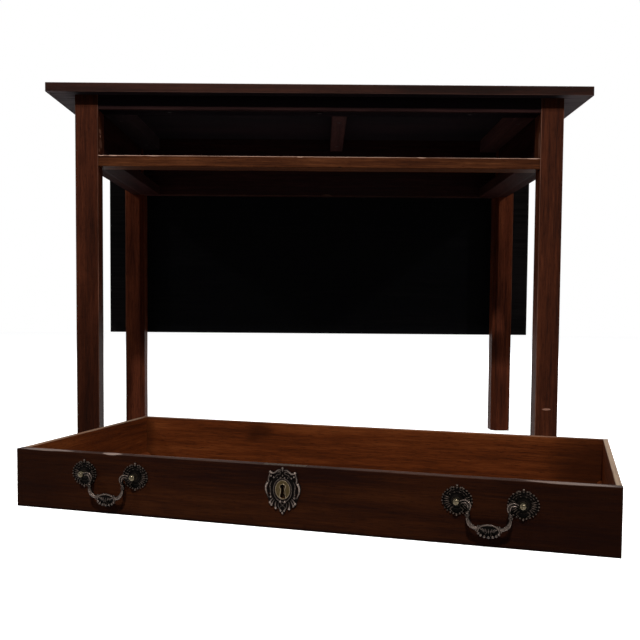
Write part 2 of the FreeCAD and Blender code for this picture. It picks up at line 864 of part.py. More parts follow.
def make_fly_rail():
    """The fixed board behind the back rail, and the two brackets hinged on it."""
    start, stop = back_rail_back, back_rail_back + s.fly_thickness
    rail = new_body("fly_rail")
    board = rectangle(-fly_shoulder_in, start, fly_shoulder_in, stop)
    pad(rail, "XY", fly_bottom, s.fly_height, board)
    for _, side in SIDES:
        add_fingers(rail, side, range(0, KNUCKLES, 2), fly_shoulder_in)
    holes = [Circle(x, z, screw_hole) for x, z in fly_screw_spots()]
    seats = [Circle(x, z, head_hole) for x, z in fly_screw_spots()]
    pocket(rail, "XZ", start - s.overrun, s.fly_thickness + s.overrun * 2, *holes)
    seat_depth = s.screw_head_height + s.screw_clearance
    pocket(rail, "XZ", stop - seat_depth, seat_depth + s.overrun, *seats)
    for name, side in SIDES:
        make_fly_bracket(name, side, start)


def make_fly_bracket(name, side, start):
    """A bracket whose lower edge sweeps up to its tip."""
    body = new_body(f"fly_bracket_{name}")
    tip = fly_axis_x + s.fly_bracket_length
    rise = s.fly_height - s.fly_bracket_tip_height
    run = tip - fly_shoulder_out
    radius = (run * run / rise + rise) / 2
    sweep_start, sweep_stop = (fly_shoulder_out * side, fly_bottom), (tip * side, fly_bottom + rise)
    centre = (fly_shoulder_out * side, fly_bottom + radius)
    outline = Outline(
        [sweep_start, sweep_stop, (tip * side, underside - s.fly_gap), (fly_shoulder_out * side, underside - s.fly_gap)],
        {0: (centre[0], centre[1], side)},
    )
    pad(body, "XZ", start, s.fly_thickness, outline)
    add_fingers(body, side, range(1, KNUCKLES, 2), fly_shoulder_out)


def make_fly_pins():
    body = doc.addObject("PartDesign::Body", "one_fly_pin")
    pad(body, "XY", zero, s.fly_height, Circle(0, 0, s.fly_pin_radius))
    spots = [(fly_axis_x * side, fly_axis_y, fly_bottom, UPRIGHT) for _, side in SIDES]
    group("fly_bracket_pins", table_place, body, spots)


def make_top_screws():
    length = s.upper_rail_thickness + s.top_screw_grip
    body = screw("one_top_screw", s.screw_radius, s.screw_head_radius, s.screw_head_height, length)
    spots = [(x, y, opening_top, UPRIGHT) for x, y in rail_screw_spots + kicker_screw_spots]
    group("top_screws", table_place, body, spots)
    length = s.fly_thickness + s.fly_screw_grip
    body = screw("one_fly_screw", s.screw_radius, s.screw_head_radius, s.screw_head_height, length)
    back = back_rail_back + s.fly_thickness
    spots = [(x, back, z, FROM_BEHIND) for x, z in fly_screw_spots()]
    group("fly_rail_screws", table_place, body, spots)


knuckle_length = s.hinge_width / KNUCKLES


def add_knuckles(body, middle, knuckles):
    """Adds alternate knuckles of a leaf hinge, along its pin."""
    for knuckle in knuckles:
        gap_before = zero if knuckle == 0 else s.knuckle_gap / 2
        gap_after = zero if knuckle == KNUCKLES - 1 else s.knuckle_gap / 2
        start = middle - s.hinge_width / 2 + knuckle_length * knuckle + gap_before
        length = knuckle_length - gap_before - gap_after
        pad(body, "YZ", start, length, Circle(s.top_depth, hinge_level, s.hinge_rise))


def bore_for_pin(body, middle):
    start = middle - s.hinge_width / 2 - s.overrun
    hole = Circle(s.top_depth, hinge_level, s.hinge_pin_radius + s.pin_clearance)
    pocket(body, "YZ", start, s.hinge_width + s.overrun * 2, hole)


def knuckle_reliefs(middle, knuckles):
    """X ranges that a plate leaves free for the other plate's knuckles."""
    start = middle - s.hinge_width / 2
    return [
        (start + knuckle_length * k - s.knuckle_gap / 2, start + knuckle_length * (k + 1) + s.knuckle_gap / 2)
        for k in knuckles
    ]


def make_leaf_hinges():
    """Rule-joint hinges: plates let into top and leaf, turning on a pin."""
    half = s.hinge_width / 2
    clear = s.hinge_rise + s.knuckle_gap
    names = ("left", "middle", "right")
    seat = s.small_screw_head_height
    for name, place in zip(names, HINGE_PLACES):
        middle = hinge_offset * place
        fixed = new_body(f"hinge_plate_top_{name}")
        plate = rectangle(middle - half, s.top_depth - s.fixed_plate_length, middle + half, s.top_depth)
        pad(fixed, "XY", underside, s.plate_thickness, plate)
        for left, right in knuckle_reliefs(middle, range(1, KNUCKLES, 2)):
            cut_box(
                fixed, left, s.top_depth - clear, underside - s.overrun,
                right, s.top_depth + s.overrun, underside + s.plate_thickness + s.overrun,
            )
        add_knuckles(fixed, middle, range(0, KNUCKLES, 2))
        bore_for_pin(fixed, middle)
        holes = plate_screw_spots(s.fixed_plate_length)
        spots = [Circle(middle + x, s.top_depth - y, small_hole) for x, y in holes]
        pocket(fixed, "XY", underside - s.overrun, s.plate_thickness + s.overrun * 2, *spots)
        wide = s.small_screw_head_radius + s.screw_clearance
        spots = [Circle(middle + x, s.top_depth - y, wide) for x, y in holes]
        pocket(fixed, "XY", underside - s.overrun, seat + s.overrun, *spots)

        moving = new_body(f"hinge_plate_leaf_{name}")
        plate = rectangle(middle - half, hinge_level - s.moving_plate_length, middle + half, hinge_level)
        pad(moving, "XZ", leaf_inner_face, s.plate_thickness, plate)
        for left, right in knuckle_reliefs(middle, range(0, KNUCKLES, 2)):
            outline = rectangle(left, hinge_level - clear, right, hinge_level + s.overrun)
            pocket(moving, "XZ", leaf_inner_face - s.overrun, s.plate_thickness + s.overrun * 2, outline)
        add_knuckles(moving, middle, range(1, KNUCKLES, 2))
        bore_for_pin(moving, middle)
        holes = plate_screw_spots(s.moving_plate_length)
        spots = [Circle(middle + x, hinge_level - down, small_hole) for x, down in holes]
        pocket(moving, "XZ", leaf_inner_face - s.overrun, s.plate_thickness + s.overrun * 2, *spots)
        spots = [Circle(middle + x, hinge_level - down, wide) for x, down in holes]
        pocket(moving, "XZ", leaf_inner_face - s.overrun, seat + s.overrun, *spots)

        pin = new_body(f"hinge_pin_{name}")
        pad(pin, "YZ", middle - half, s.hinge_width, Circle(s.top_depth, hinge_level, s.hinge_pin_radius))
    make_hinge_screws()


def make_hinge_screws():
    body = screw(
        "one_hinge_screw",
        s.small_screw_radius,
        s.small_screw_head_radius,
        s.small_screw_head_height,
        s.hinge_screw_length,
    )
    up, back = [], []
    for place in HINGE_PLACES:
        middle = hinge_offset * place
        for x, y in plate_screw_spots(s.fixed_plate_length):
            up.append((middle + x, s.top_depth - y, underside, UPRIGHT))
        for x, down in plate_screw_spots(s.moving_plate_length):
            back.append((middle + x, leaf_inner_face, hinge_level - down, INTO_FRONT))
    group("hinge_screws_top", table_place, body, up)
    group("hinge_screws_leaf", table_place, body, back)


def tail_points(shoulder, end, bottom, height):
    """Corners of the dovetails along one end of a drawer side, from bottom to top."""
    points = []
    pitch = height / TAILS
    narrow = (pitch - s.tail_space) / 2
    wide = narrow + s.tail_taper
    for tail in range(TAILS):
        middle = bottom + pitch * (tail + 0.5)
        points.append([
            (shoulder, middle - narrow),
            (end, middle - wide),
            (end, middle + wide),
            (shoulder, middle + narrow),
        ])
    return points


def front_tails():
    return tail_points(s.drawer_front_thickness, s.drawer_lap, zero, drawer_height)


def back_tails():
    height = drawer_height - drawer_bottom_top
    return tail_points(drawer_back_face, s.drawer_depth, drawer_bottom_top, height)


def make_drawer_sides():
    """Sides with lapped dovetails at the front and through dovetails at the back."""
    for name, side in SIDES:
        body = new_body(f"drawer_side_{name}", drawer_place)
        corners = [(drawer_back_face, zero), (s.drawer_front_thickness, zero)]
        corners += [point for tail in front_tails() for point in tail]
        corners += [(s.drawer_front_thickness, drawer_height), (drawer_back_face, drawer_height)]
        corners += [point for tail in reversed(back_tails()) for point in reversed(tail)]
        start = drawer_half - s.drawer_side_thickness if side > 0 else -drawer_half
        pad(body, "YZ", start, s.drawer_side_thickness, Outline(corners))
        round_edges(
            body,
            s.drawer_edge_round,
            lambda edge: runs_along(edge, 1) and near(edge.CenterOfMass.z, drawer_height),
        )


def keyhole_outline():
    """The keyhole: a round head over a slot that widens to its foot."""
    half, foot_half = s.key_slot_width / 2, s.key_foot_width / 2
    drop = root(s.key_radius * s.key_radius - half * half)
    foot = s.key_height - s.key_slot_length
    return Outline(
        [
            (keyhole_left - foot_half, foot),
            (keyhole_left + foot_half, foot),
            (keyhole_left + half, s.key_height - drop),
            (keyhole_left - half, s.key_height - drop),
        ],
        {2: (keyhole_left, s.key_height, 1)},
    )


def pull_spots():
    """X places of the four posts, with the side of its pull that each stands on."""
    return [(pull_offset * pull + pull_half * side, side) for _, pull in SIDES for _, side in SIDES]


def make_drawer_front():
    body = new_body("drawer_front", drawer_place)
    thickness = s.drawer_front_thickness
    pad(body, "XY", zero, drawer_height, rectangle(-drawer_half, 0, drawer_half, thickness))
    round_edges(body, s.arris, lambda edge: flat_at(edge, 1, 0))
    sockets = [Outline(points) for points in front_tails()]
    pocket(body, "YZ", -drawer_half - s.overrun, s.drawer_side_thickness + s.overrun, *sockets)
    pocket(body, "YZ", drawer_half - s.drawer_side_thickness, s.drawer_side_thickness + s.overrun, *sockets)
    reach = slip_inner + s.drawer_groove
    cut_box(
        body, -reach, thickness - s.drawer_groove, s.drawer_bottom_rise,
        reach, thickness + s.overrun, drawer_bottom_top,
    )
    half = s.lock_width / 2
    left, right = keyhole_left - half, keyhole_left + half
    above = drawer_height + s.overrun
    cut_box(body, left, thickness - s.lock_thickness, drawer_height - s.lock_height, right, thickness + s.overrun, above)
    cut_box(
        body, left, thickness - s.selvedge_depth, drawer_height - s.selvedge_thickness,
        right, thickness, above,
    )
    pocket(body, "XZ", -s.overrun, thickness, keyhole_outline())
    holes = [Circle(x, s.pull_height, s.post_radius + s.screw_clearance) for x, _ in pull_spots()]
    pocket(body, "XZ", -s.overrun, thickness + s.overrun * 2, *holes)
    pins = [Circle(x, z, s.escutcheon_pin_radius + s.pin_clearance) for x, z in escutcheon_pin_spots()]
    pocket(body, "XZ", -s.overrun, s.escutcheon_pin_length + s.overrun, *pins)
    drill_for_lock_screws(body, thickness - s.lock_thickness - s.drawer_lap, s.drawer_lap)


def lock_screw_spots():
    """Places of the lock's screws, as X and Z."""
    x = s.lock_width / 2 - s.small_screw_head_radius * 2
    low = drawer_height - s.lock_height + s.small_screw_head_radius * 2
    return [(keyhole_left + x * side, low + s.lock_height / 2 * row) for _, side in SIDES for row in (0, 1)]


def drill_for_lock_screws(body, start, length):
    holes = [Circle(x, z, small_hole) for x, z in lock_screw_spots()]
    pocket(body, "XZ", start, length + s.overrun, *holes)


def make_drawer_back():
    body = new_body("drawer_back", drawer_place)
    board = rectangle(-drawer_half, drawer_back_face, drawer_half, s.drawer_depth)
    pad(body, "XY", drawer_bottom_top, drawer_height - drawer_bottom_top, board)
    sockets = [Outline(points) for points in back_tails()]
    pocket(body, "YZ", -drawer_half - s.overrun, s.drawer_side_thickness + s.overrun, *sockets)
    pocket(body, "YZ", drawer_half - s.drawer_side_thickness, s.drawer_side_thickness + s.overrun, *sockets)
    holes = [Circle(x, y, small_hole) for x, y in bottom_screw_spots()]
    pocket(body, "XY", drawer_bottom_top - s.overrun, s.hinge_screw_length, *holes)
    round_edges(
        body,
        s.drawer_edge_round,
        lambda edge: runs_along(edge, 0)
        and near(edge.CenterOfMass.z, drawer_height)
        and abs(edge.CenterOfMass.x) < s.drawer_side_thickness.value,
    )


def bottom_screw_spots():
    """Places of the screws that hold the drawer's bottom up to its back."""
    return [(stop_offset * place, s.drawer_depth - s.drawer_side_thickness / 2) for place in HINGE_PLACES]


def make_drawer_bottom():
    body = new_body("drawer_bottom", drawer_place)
    reach = slip_inner + s.drawer_groove
    board = rectangle(-reach, s.drawer_front_thickness - s.drawer_groove, reach, s.drawer_depth)
    pad(body, "XY", s.drawer_bottom_rise, s.drawer_bottom_thickness, board)
    spots = bottom_screw_spots()
    below = s.drawer_bottom_rise - s.overrun
    holes = [Circle(x, y, small_hole) for x, y in spots]
    pocket(body, "XY", below, s.drawer_bottom_thickness + s.overrun * 2, *holes)
    seats = [Circle(x, y, s.small_screw_head_radius + s.screw_clearance) for x, y in spots]
    pocket(body, "XY", below, s.small_screw_head_height + s.overrun, *seats)
    master = doc.getObject("one_hinge_screw")
    places = [(x, y, s.drawer_bottom_rise, UPRIGHT) for x, y in spots]
    group("drawer_bottom_screws", drawer_place, master, places)


def make_drawer_slips():
    """Grooved slips glued inside the thin sides, which hold the bottom and widen the running edge."""
    for name, side in SIDES:
        body = new_body(f"drawer_slip_{name}", drawer_place)
        outer, inner = (drawer_half - s.drawer_side_thickness) * side, slip_inner * side
        crown = s.slip_height - s.slip_width
        groove = (slip_inner + s.drawer_groove) * side
        profile = Outline(
            [
                (outer, zero),
                (inner, zero),
                (inner, s.drawer_bottom_rise),
                (groove, s.drawer_bottom_rise),
                (groove, drawer_bottom_top),
                (inner + (s.slip_width - root(s.slip_width * s.slip_width - (drawer_bottom_top - crown) * (drawer_bottom_top - crown))) * side, drawer_bottom_top),
                (outer, s.slip_height),
            ],
            {5: (outer, crown, -side)},
        )
        length = drawer_back_face - s.drawer_front_thickness
        pad(body, "XZ", s.drawer_front_thickness, length, profile)


def make_lock():
    """Lock case with its selvedge in the front's top edge, and the bolt that slides up out of it."""
    case = new_body("lock_case", drawer_place)
    half = s.lock_width / 2
    left, right = keyhole_left - half, keyhole_left + half
    back = s.drawer_front_thickness
    face = back - s.lock_thickness
    bottom = drawer_height - s.lock_height
    pad(case, "XY", bottom, s.lock_height, rectangle(left, face, right, back))
    lip = rectangle(left, back - s.selvedge_depth, right, back)
    pad(case, "XY", drawer_height - s.selvedge_thickness, s.selvedge_thickness, lip)
    middle = back - s.lock_thickness / 2
    side, across = s.bolt_width / 2 + s.bolt_clearance, s.bolt_thickness / 2 + s.bolt_clearance
    cut_box(
        case, keyhole_left - side, middle - across, drawer_height - s.bolt_height,
        keyhole_left + side, middle + across, drawer_height + s.overrun,
    )
    pocket(case, "XZ", face - s.overrun, s.key_depth + s.overrun, keyhole_outline())
    drill_for_lock_screws(case, face - s.overrun, s.lock_thickness + s.overrun)
    seats = [Circle(x, z, s.small_screw_head_radius + s.screw_clearance) for x, z in lock_screw_spots()]
    pocket(case, "XZ", back - s.small_screw_head_height, s.small_screw_head_height + s.overrun, *seats)

    bolt = new_body("lock_bolt", drawer_place)
    side, across = s.bolt_width / 2, s.bolt_thickness / 2
    tongue = rectangle(keyhole_left - side, middle - across, keyhole_left + side, middle + across)
    pad(bolt, "XY", drawer_height - s.bolt_height, s.bolt_height, tongue)

    length = s.lock_thickness + s.drawer_lap - s.overrun
    master = screw(
        "one_lock_screw", s.small_screw_radius, s.small_screw_head_radius, s.small_screw_head_height, length,
    )
    places = [(x, back, z, FROM_BEHIND) for x, z in lock_screw_spots()]
    group("lock_screws", drawer_place, master, places)


def lobed_outline(middle, half_across, half_up, lobes, first_turn=0.0):
    """A scalloped oval: lobes whose arcs stand on the chords of an inner oval."""
    step = 2 * math.pi / lobes
    corners, arcs = [], {}
    for lobe in range(lobes):
        angle = first_turn + step * lobe
        corners.append((middle[0] + half_across * math.cos(angle), middle[1] + half_up * math.sin(angle)))
    for lobe, here in enumerate(corners):
        there = corners[(lobe + 1) % lobes]
        across, up = there[0] - here[0], there[1] - here[1]
        centre_x = (here[0] + there[0]) / 2 - up * LOBE_SHARE
        centre_y = (here[1] + there[1]) / 2 + across * LOBE_SHARE
        arcs[lobe] = (centre_x, centre_y, 1)
    return Outline(corners, arcs)


def oval_outline(middle, half_across, half_up, share=1.0):
    """An oval of four arcs, for the plate round the keyhole and its hole."""
    across, up = half_across * share, half_up * share
    small = across * 0.75
    lift = up - small
    # The side arcs pass through the widest point and meet the end arcs in line with both centres
    shift = (lift * lift - (across - small) * (across - small)) / ((across - small) * 2)
    side = across + shift
    reach = small / root(lift * lift + shift * shift)
    x, y = shift * reach, lift + lift * reach
    cx, cy = middle
    return Outline(
        [(cx + x, cy - y), (cx + x, cy + y), (cx - x, cy + y), (cx - x, cy - y)],
        {
            0: (cx - side + across, cy, 1),
            1: (cx, cy + lift, 1),
            2: (cx + side - across, cy, 1),
            3: (cx, cy - lift, 1),
        },
    )


def escutcheon_pin_spots():
    """Places of the four pins, as X and Z."""
    across, up = s.escutcheon_width * 0.32, s.escutcheon_height * 0.30
    return [(keyhole_left + across * a, s.escutcheon_centre + up * b) for a in (-1, 1) for b in (-1, 1)]


def make_escutcheon():
    """A pierced cast escutcheon with a lobed edge, finials, and the keyhole plate in its middle."""
    body = new_body("escutcheon", drawer_place)
    middle = (keyhole_left, s.escutcheon_centre)
    lobe_reach = s.escutcheon_width * math.sin(math.pi / ESCUTCHEON_LOBES) * 0.37
    across = s.escutcheon_width / 2 - lobe_reach
    up = s.escutcheon_height / 2 - s.finial_radius * 1.4
    level = -s.escutcheon_thickness
    outline = lobed_outline(middle, across, up, ESCUTCHEON_LOBES, math.pi / ESCUTCHEON_LOBES)
    pad(body, "XZ", level, s.escutcheon_thickness, outline)
    reach = s.escutcheon_height / 2 - s.finial_radius
    for way in (-1, 1):
        finial = Circle(keyhole_left, s.escutcheon_centre + reach * way, s.finial_radius)
        pad(body, "XZ", level, s.escutcheon_thickness, finial)
    oval_middle = (keyhole_left, s.escutcheon_centre + s.oval_rise)
    hole = oval_outline(oval_middle, s.oval_width / 2, s.oval_height / 2)
    pocket(body, "XZ", level - s.overrun, s.escutcheon_thickness + s.overrun * 2, hole)
    ring = []
    for piercing in range(PIERCINGS):
        angle = 2 * math.pi * (piercing + 0.5) / PIERCINGS
        x = keyhole_left + (across + s.oval_width / 2) / 2 * math.cos(angle)
        z = s.escutcheon_centre + s.oval_rise / 2 + (up + s.oval_height / 2) / 2 * math.sin(angle)
        ring.append(Circle(x, z, s.piercing_radius))
    pocket(body, "XZ", level - s.overrun, s.escutcheon_thickness + s.overrun * 2, *ring)
    pins = [Circle(x, z, s.escutcheon_pin_radius + s.pin_clearance) for x, z in escutcheon_pin_spots()]
    pocket(body, "XZ", level - s.overrun, s.escutcheon_thickness + s.overrun * 2, *pins)

    plate = new_body("keyhole_plate", drawer_place)
    oval = oval_outline(oval_middle, s.oval_width / 2, s.oval_height / 2)
    pad(plate, "XZ", -s.oval_thickness, s.oval_thickness, oval)
    pocket(plate, "XZ", -s.oval_thickness - s.overrun, s.oval_thickness + s.overrun * 2, keyhole_outline())

    pin = doc.addObject("PartDesign::Body", "one_escutcheon_pin")
    head, shank = s.escutcheon_pin_head_radius, s.escutcheon_pin_radius
    rise = s.escutcheon_pin_head_height
    length = s.escutcheon_pin_length + s.escutcheon_thickness - s.overrun
    profile = Outline([
        (0, -rise), (head * 0.7, -rise * 0.8), (head, 0), (shank, 0), (shank, length), (0, length),
    ])
    turned(pin, "Revolution", "XZ", "V_Axis", [profile])
    places = [(x, level, z, INTO_FRONT) for x, z in escutcheon_pin_spots()]
    group("escutcheon_pins", drawer_place, pin, places)


def make_rosette():
    """One dished rosette with a lobed rim, standing towards -Y from the drawer's face."""
    body = doc.addObject("PartDesign::Body", "one_rosette")
    reach = s.rosette_radius * math.sin(math.pi / ROSETTE_LOBES) * 0.74
    rim = s.rosette_radius - reach
    pad(body, "XZ", -s.rosette_thickness, s.rosette_thickness, lobed_outline((zero, zero), rim, rim, ROSETTE_LOBES))
    outer = s.rosette_radius + s.overrun
    points = [(outer, -s.rosette_dish)]
    for radius, height in zip(ROSETTE_RADIUS_SHARES, ROSETTE_HEIGHT_SHARES):
        points.append((s.rosette_radius * radius, -s.rosette_thickness * height))
    points.append((outer, -s.rosette_thickness))
    points[-2] = (s.rosette_radius * ROSETTE_RADIUS_SHARES[-1], -s.rosette_thickness - s.overrun)
    points[-1] = (outer, -s.rosette_thickness - s.overrun)
    turned(body, "Groove", "XY", "V_Axis", [Outline(points)])
    hole = Circle(0, 0, s.post_radius + s.screw_clearance)
    pocket(body, "XZ", -s.rosette_thickness - s.overrun, s.rosette_thickness + s.overrun * 2, hole)
    return body


def make_post():
    """One turned post: a ball that holds the bail, a collar and a shank through the front."""
    body = doc.addObject("PartDesign::Body", "one_post")
    ball, shank = s.post_ball_radius, s.post_radius
    neck = shank * 0.8
    drop = root(ball * ball - neck * neck)
    collar = -s.rosette_thickness
    profile = Outline(
        [
            (zero, post_level - ball),
            (neck, post_level + drop),
            (neck, collar - shank / 2),
            (shank * 1.3, collar),
            (shank, collar),
            (shank, s.drawer_front_thickness + s.nut_thickness + shank / 2),
            (zero, s.drawer_front_thickness + s.nut_thickness + shank / 2),
        ],
        {0: (zero, post_level, 1)},
    )
    turned(body, "Revolution", "XY", "V_Axis", [profile])
    hole = Circle(post_level, 0, s.bail_pin_radius + s.pin_clearance)
    pocket(body, "YZ", ball - s.bail_pin_radius * 2, ball, hole)
    return body


def make_pulls():
    """Rosettes, posts, nuts and the two swinging bails."""
    rosette, post = make_rosette(), make_post()
    nut = doc.addObject("PartDesign::Body", "one_nut")
    pad(
        nut, "XZ", zero, s.nut_thickness,
        Circle(0, 0, s.nut_radius),
        Circle(0, 0, s.post_radius + s.screw_clearance),
    )
    facing = {-1: FreeCAD.Rotation(), 1: FreeCAD.Rotation(FreeCAD.Vector(0, 1, 0), 180)}
    for name, pull in SIDES:
        posts = [(pull_offset * pull + pull_half * side, side) for _, side in SIDES]
        group(
            f"pull_rosettes_{name}", drawer_place, rosette,
            [(x, zero, s.pull_height, UPRIGHT) for x, _ in posts],
        )
        group(
            f"pull_posts_{name}", drawer_place, post,
            [(x, zero, s.pull_height, facing[side]) for x, side in posts],
        )
        make_bail(name, pull_offset * pull)
    nuts = [(x, s.drawer_front_thickness, s.pull_height, UPRIGHT) for x, _ in pull_spots()]
    group("pull_nuts", drawer_place, nut, nuts)


def bail_path(side, middle):
    """Points of half a bail, from its post to its lowest line, as the corners and arc centres."""
    post = pull_half
    start = post - s.post_ball_radius - s.bail_gap
    elbow = start - s.bail_arm
    bend, angle = s.bail_shoulder_radius, s.bail_waist_angle
    lean_x, lean_z = sine(angle), cosine(angle)
    waist_top = (elbow - bend * lean_z, -bend - bend * lean_x)
    waist_foot = (waist_top[0] + s.bail_waist_length * lean_x, waist_top[1] - s.bail_waist_length * lean_z)
    belly = (s.bail_drop + waist_foot[1]) / (lean_x + 1)
    belly_centre = (waist_foot[0] - belly * lean_z, waist_foot[1] - belly * lean_x)
    points = [
        (start, zero),
        (elbow, zero),
        waist_top,
        waist_foot,
        (belly_centre[0], -s.bail_drop),
    ]
    centres = {1: (elbow, -bend), 3: belly_centre}
    turns = {1: side, 3: -side}
    place = lambda point: (middle + point[0] * side, s.pull_height + point[1])
    return [place(point) for point in points], {k: (*place(c), turns[k]) for k, c in centres.items()}


def make_bail(name, middle):
    """A swan-neck bail: a round bar swept from post to post, with a swelling in its middle."""
    body = new_body(f"bail_{name}", drawer_place)
    right, right_arcs = bail_path(1, middle)
    left, left_arcs = bail_path(-1, middle)
    last = len(right) - 1
    points = right + list(reversed(left))
    arcs = dict(right_arcs)
    for index, (x, z, turn) in left_arcs.items():
        arcs[2 * last - index] = (x, z, -turn)
    path = sketch_in(body, "XZ", post_level, [])
    draw_path(path, points, arcs)
    end = sketch_in(body, "YZ", points[0][0], [Circle(post_level, s.pull_height, s.bail_radius)])
    pipe = body.newObject("PartDesign::AdditivePipe", body.Name + "_bar")
    pipe.Profile = end
    pipe.Spine = path
    doc.recompute()
    for side in (-1, 1):
        post = middle + pull_half * side
        tip = post - (s.post_ball_radius - s.bail_pin_radius) * side
        root_end = post - (s.post_ball_radius + s.bail_gap) * side
        start = min(tip, root_end, key=lambda size: size.value)
        length = s.bail_pin_radius + s.bail_gap
        pad(body, "YZ", start, length, Circle(post_level, s.pull_height, s.bail_pin_radius))
    half, rise = s.ornament_length / 2, s.ornament_radius - s.bail_radius
    radius = (half * half / rise + rise) / 2
    swelling = Outline(
        [(-half, zero), (half, zero), (half, s.bail_radius), (-half, s.bail_radius)],
        {2: (zero, s.ornament_radius - radius, 1)},
    )
    turned(
        body, "Revolution", "XZ", "H_Axis", [swelling],
        level=post_level, at=(middle, s.pull_height - s.bail_drop),
    )


def draw_path(sketch, points, arcs):
    """Draws an open path of lines and arcs through points."""
    ends = []
    outline = Outline(points, arcs)
    for index in range(len(points) - 1):
        ends.append(outline.draw_edge(sketch, index, outline.corners[index], outline.corners[index + 1]))
    for index in range(1, len(points) - 1):
        sketch.addConstraint(
            Sketcher.Constraint("Coincident", index - 1, ends[index - 1][1], index, ends[index][0])
        )
    for index, (x, y) in enumerate(outline.corners[:-1]):
        pin_point(sketch, index, ends[index][0], x, y)
    pin_point(sketch, len(ends) - 1, ends[-1][1], *outline.corners[-1])
    doc.recompute()


make_table_top()
make_drop_leaf()
make_legs()
make_front_rails()
make_side_rails()
make_back_rail()
make_drawer_supports()
make_fly_rail()
make_fly_pins()
make_top_screws()
make_leaf_hinges()
make_drawer_front()
make_drawer_sides()
make_drawer_back()
make_drawer_bottom()
make_drawer_slips()
make_lock()
make_escutcheon()
make_pulls()

doc.recompute()
faults = [item.Label for item in doc.Objects if "Invalid" in item.State or "Error" in item.State]
if faults:
    raise RuntimeError(f"these objects failed: {faults}")
os.makedirs("parts", exist_ok=True)
for label, node in nodes.items():
    if node.Shape.isNull() or not node.Shape.isValid():
        raise RuntimeError(f"{label} has no valid shape")
for label, node in nodes.items():
    node.Shape.exportStep(f"parts/{label}.step")
print(len(nodes), "pieces written")
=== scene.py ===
import math

import bmesh
import bpy
from mathutils import Euler, Matrix, Quaternion, Vector


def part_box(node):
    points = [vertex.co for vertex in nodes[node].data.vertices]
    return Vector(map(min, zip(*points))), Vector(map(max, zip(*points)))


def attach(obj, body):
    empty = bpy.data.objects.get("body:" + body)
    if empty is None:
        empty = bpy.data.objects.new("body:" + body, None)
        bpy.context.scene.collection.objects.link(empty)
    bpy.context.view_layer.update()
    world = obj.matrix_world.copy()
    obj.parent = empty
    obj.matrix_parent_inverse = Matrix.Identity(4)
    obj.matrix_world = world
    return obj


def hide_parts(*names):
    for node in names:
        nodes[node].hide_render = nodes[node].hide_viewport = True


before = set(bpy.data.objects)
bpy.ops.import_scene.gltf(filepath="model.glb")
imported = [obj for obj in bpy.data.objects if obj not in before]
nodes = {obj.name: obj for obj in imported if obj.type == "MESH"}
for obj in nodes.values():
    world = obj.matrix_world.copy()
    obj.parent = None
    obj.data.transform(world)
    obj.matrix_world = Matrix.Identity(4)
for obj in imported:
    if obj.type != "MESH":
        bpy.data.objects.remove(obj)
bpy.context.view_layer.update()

X, Y, Z = range(3)
WHITE = (1, 1, 1, 1)
TABLE = Matrix.Identity(4)
TABLE_FRONT = 0.0558797

# The drawer stands on the floor, turned, so what is on it is laid out in its own frame: X along
# its front, Y back from its face and Z up. The front and the back have an inner face each.
DRAWER_MIDDLE = (-0.0392, -0.4471203, 0)
DRAWER = Matrix.Translation(DRAWER_MIDDLE) @ Matrix.Rotation(math.radians(-16.5), 4, "Z")
DRAWER_HALF_WIDTH = 0.4359
DRAWER_TOP = 0.0884
FRONT_INNER_FACE = 0.014
BACK_INNER_FACE = 0.395

# An ornament is modelled lying down, in millimetres, with X across, Y up and Z towards the
# viewer, and is then stood against the drawer's face.
MILLIMETRES = Matrix.Diagonal((0.001, 0.001, 0.001, 1))
AGAINST_FACE = Matrix.Rotation(math.radians(90), 4, "X") @ MILLIMETRES


def on_drawer(x, z):
    """Where an ornament's middle goes, in millimetres along and up the drawer's face."""
    return DRAWER @ Matrix.Translation((x / 1000, 0, z / 1000)) @ AGAINST_FACE


def shade(red, green, blue):
    """A colour as a screen shows it, from 0 to 255, as the shader takes it."""
    def straight(level):
        level /= 255
        return level / 12.92 if level <= 0.04045 else ((level + 0.055) / 1.055) ** 2.4
    return (straight(red), straight(green), straight(blue), 1)


class Pattern:
    """A socket that takes part in sums, each of which adds its Math node."""

    def __init__(self, owner, socket):
        self.owner, self.socket = owner, socket

    def _sum(self, operation, first, second):
        return self.owner.make("ShaderNodeMath", {"operation": operation}, {0: first, 1: second})

    def __add__(self, other):
        return self._sum("ADD", self, other)

    def __sub__(self, other):
        return self._sum("SUBTRACT", self, other)

    def __rsub__(self, other):
        return self._sum("SUBTRACT", other, self)

    def __mul__(self, other):
        return self._sum("MULTIPLY", self, other)

    def __abs__(self):
        return self._sum("ABSOLUTE", self, 0)

    __radd__, __rmul__ = __add__, __mul__

    def larger(self, other):
        return self._sum("MAXIMUM", self, other)

    def smaller(self, other):
        return self._sum("MINIMUM", self, other)

    def between(self, low, high):
        """Rises smoothly from 0 where the pattern is low to 1 where it is high."""
        settings = {"interpolation_type": "SMOOTHSTEP"}
        return self.owner.make("ShaderNodeMapRange", settings, {0: self, 1: low, 2: high})


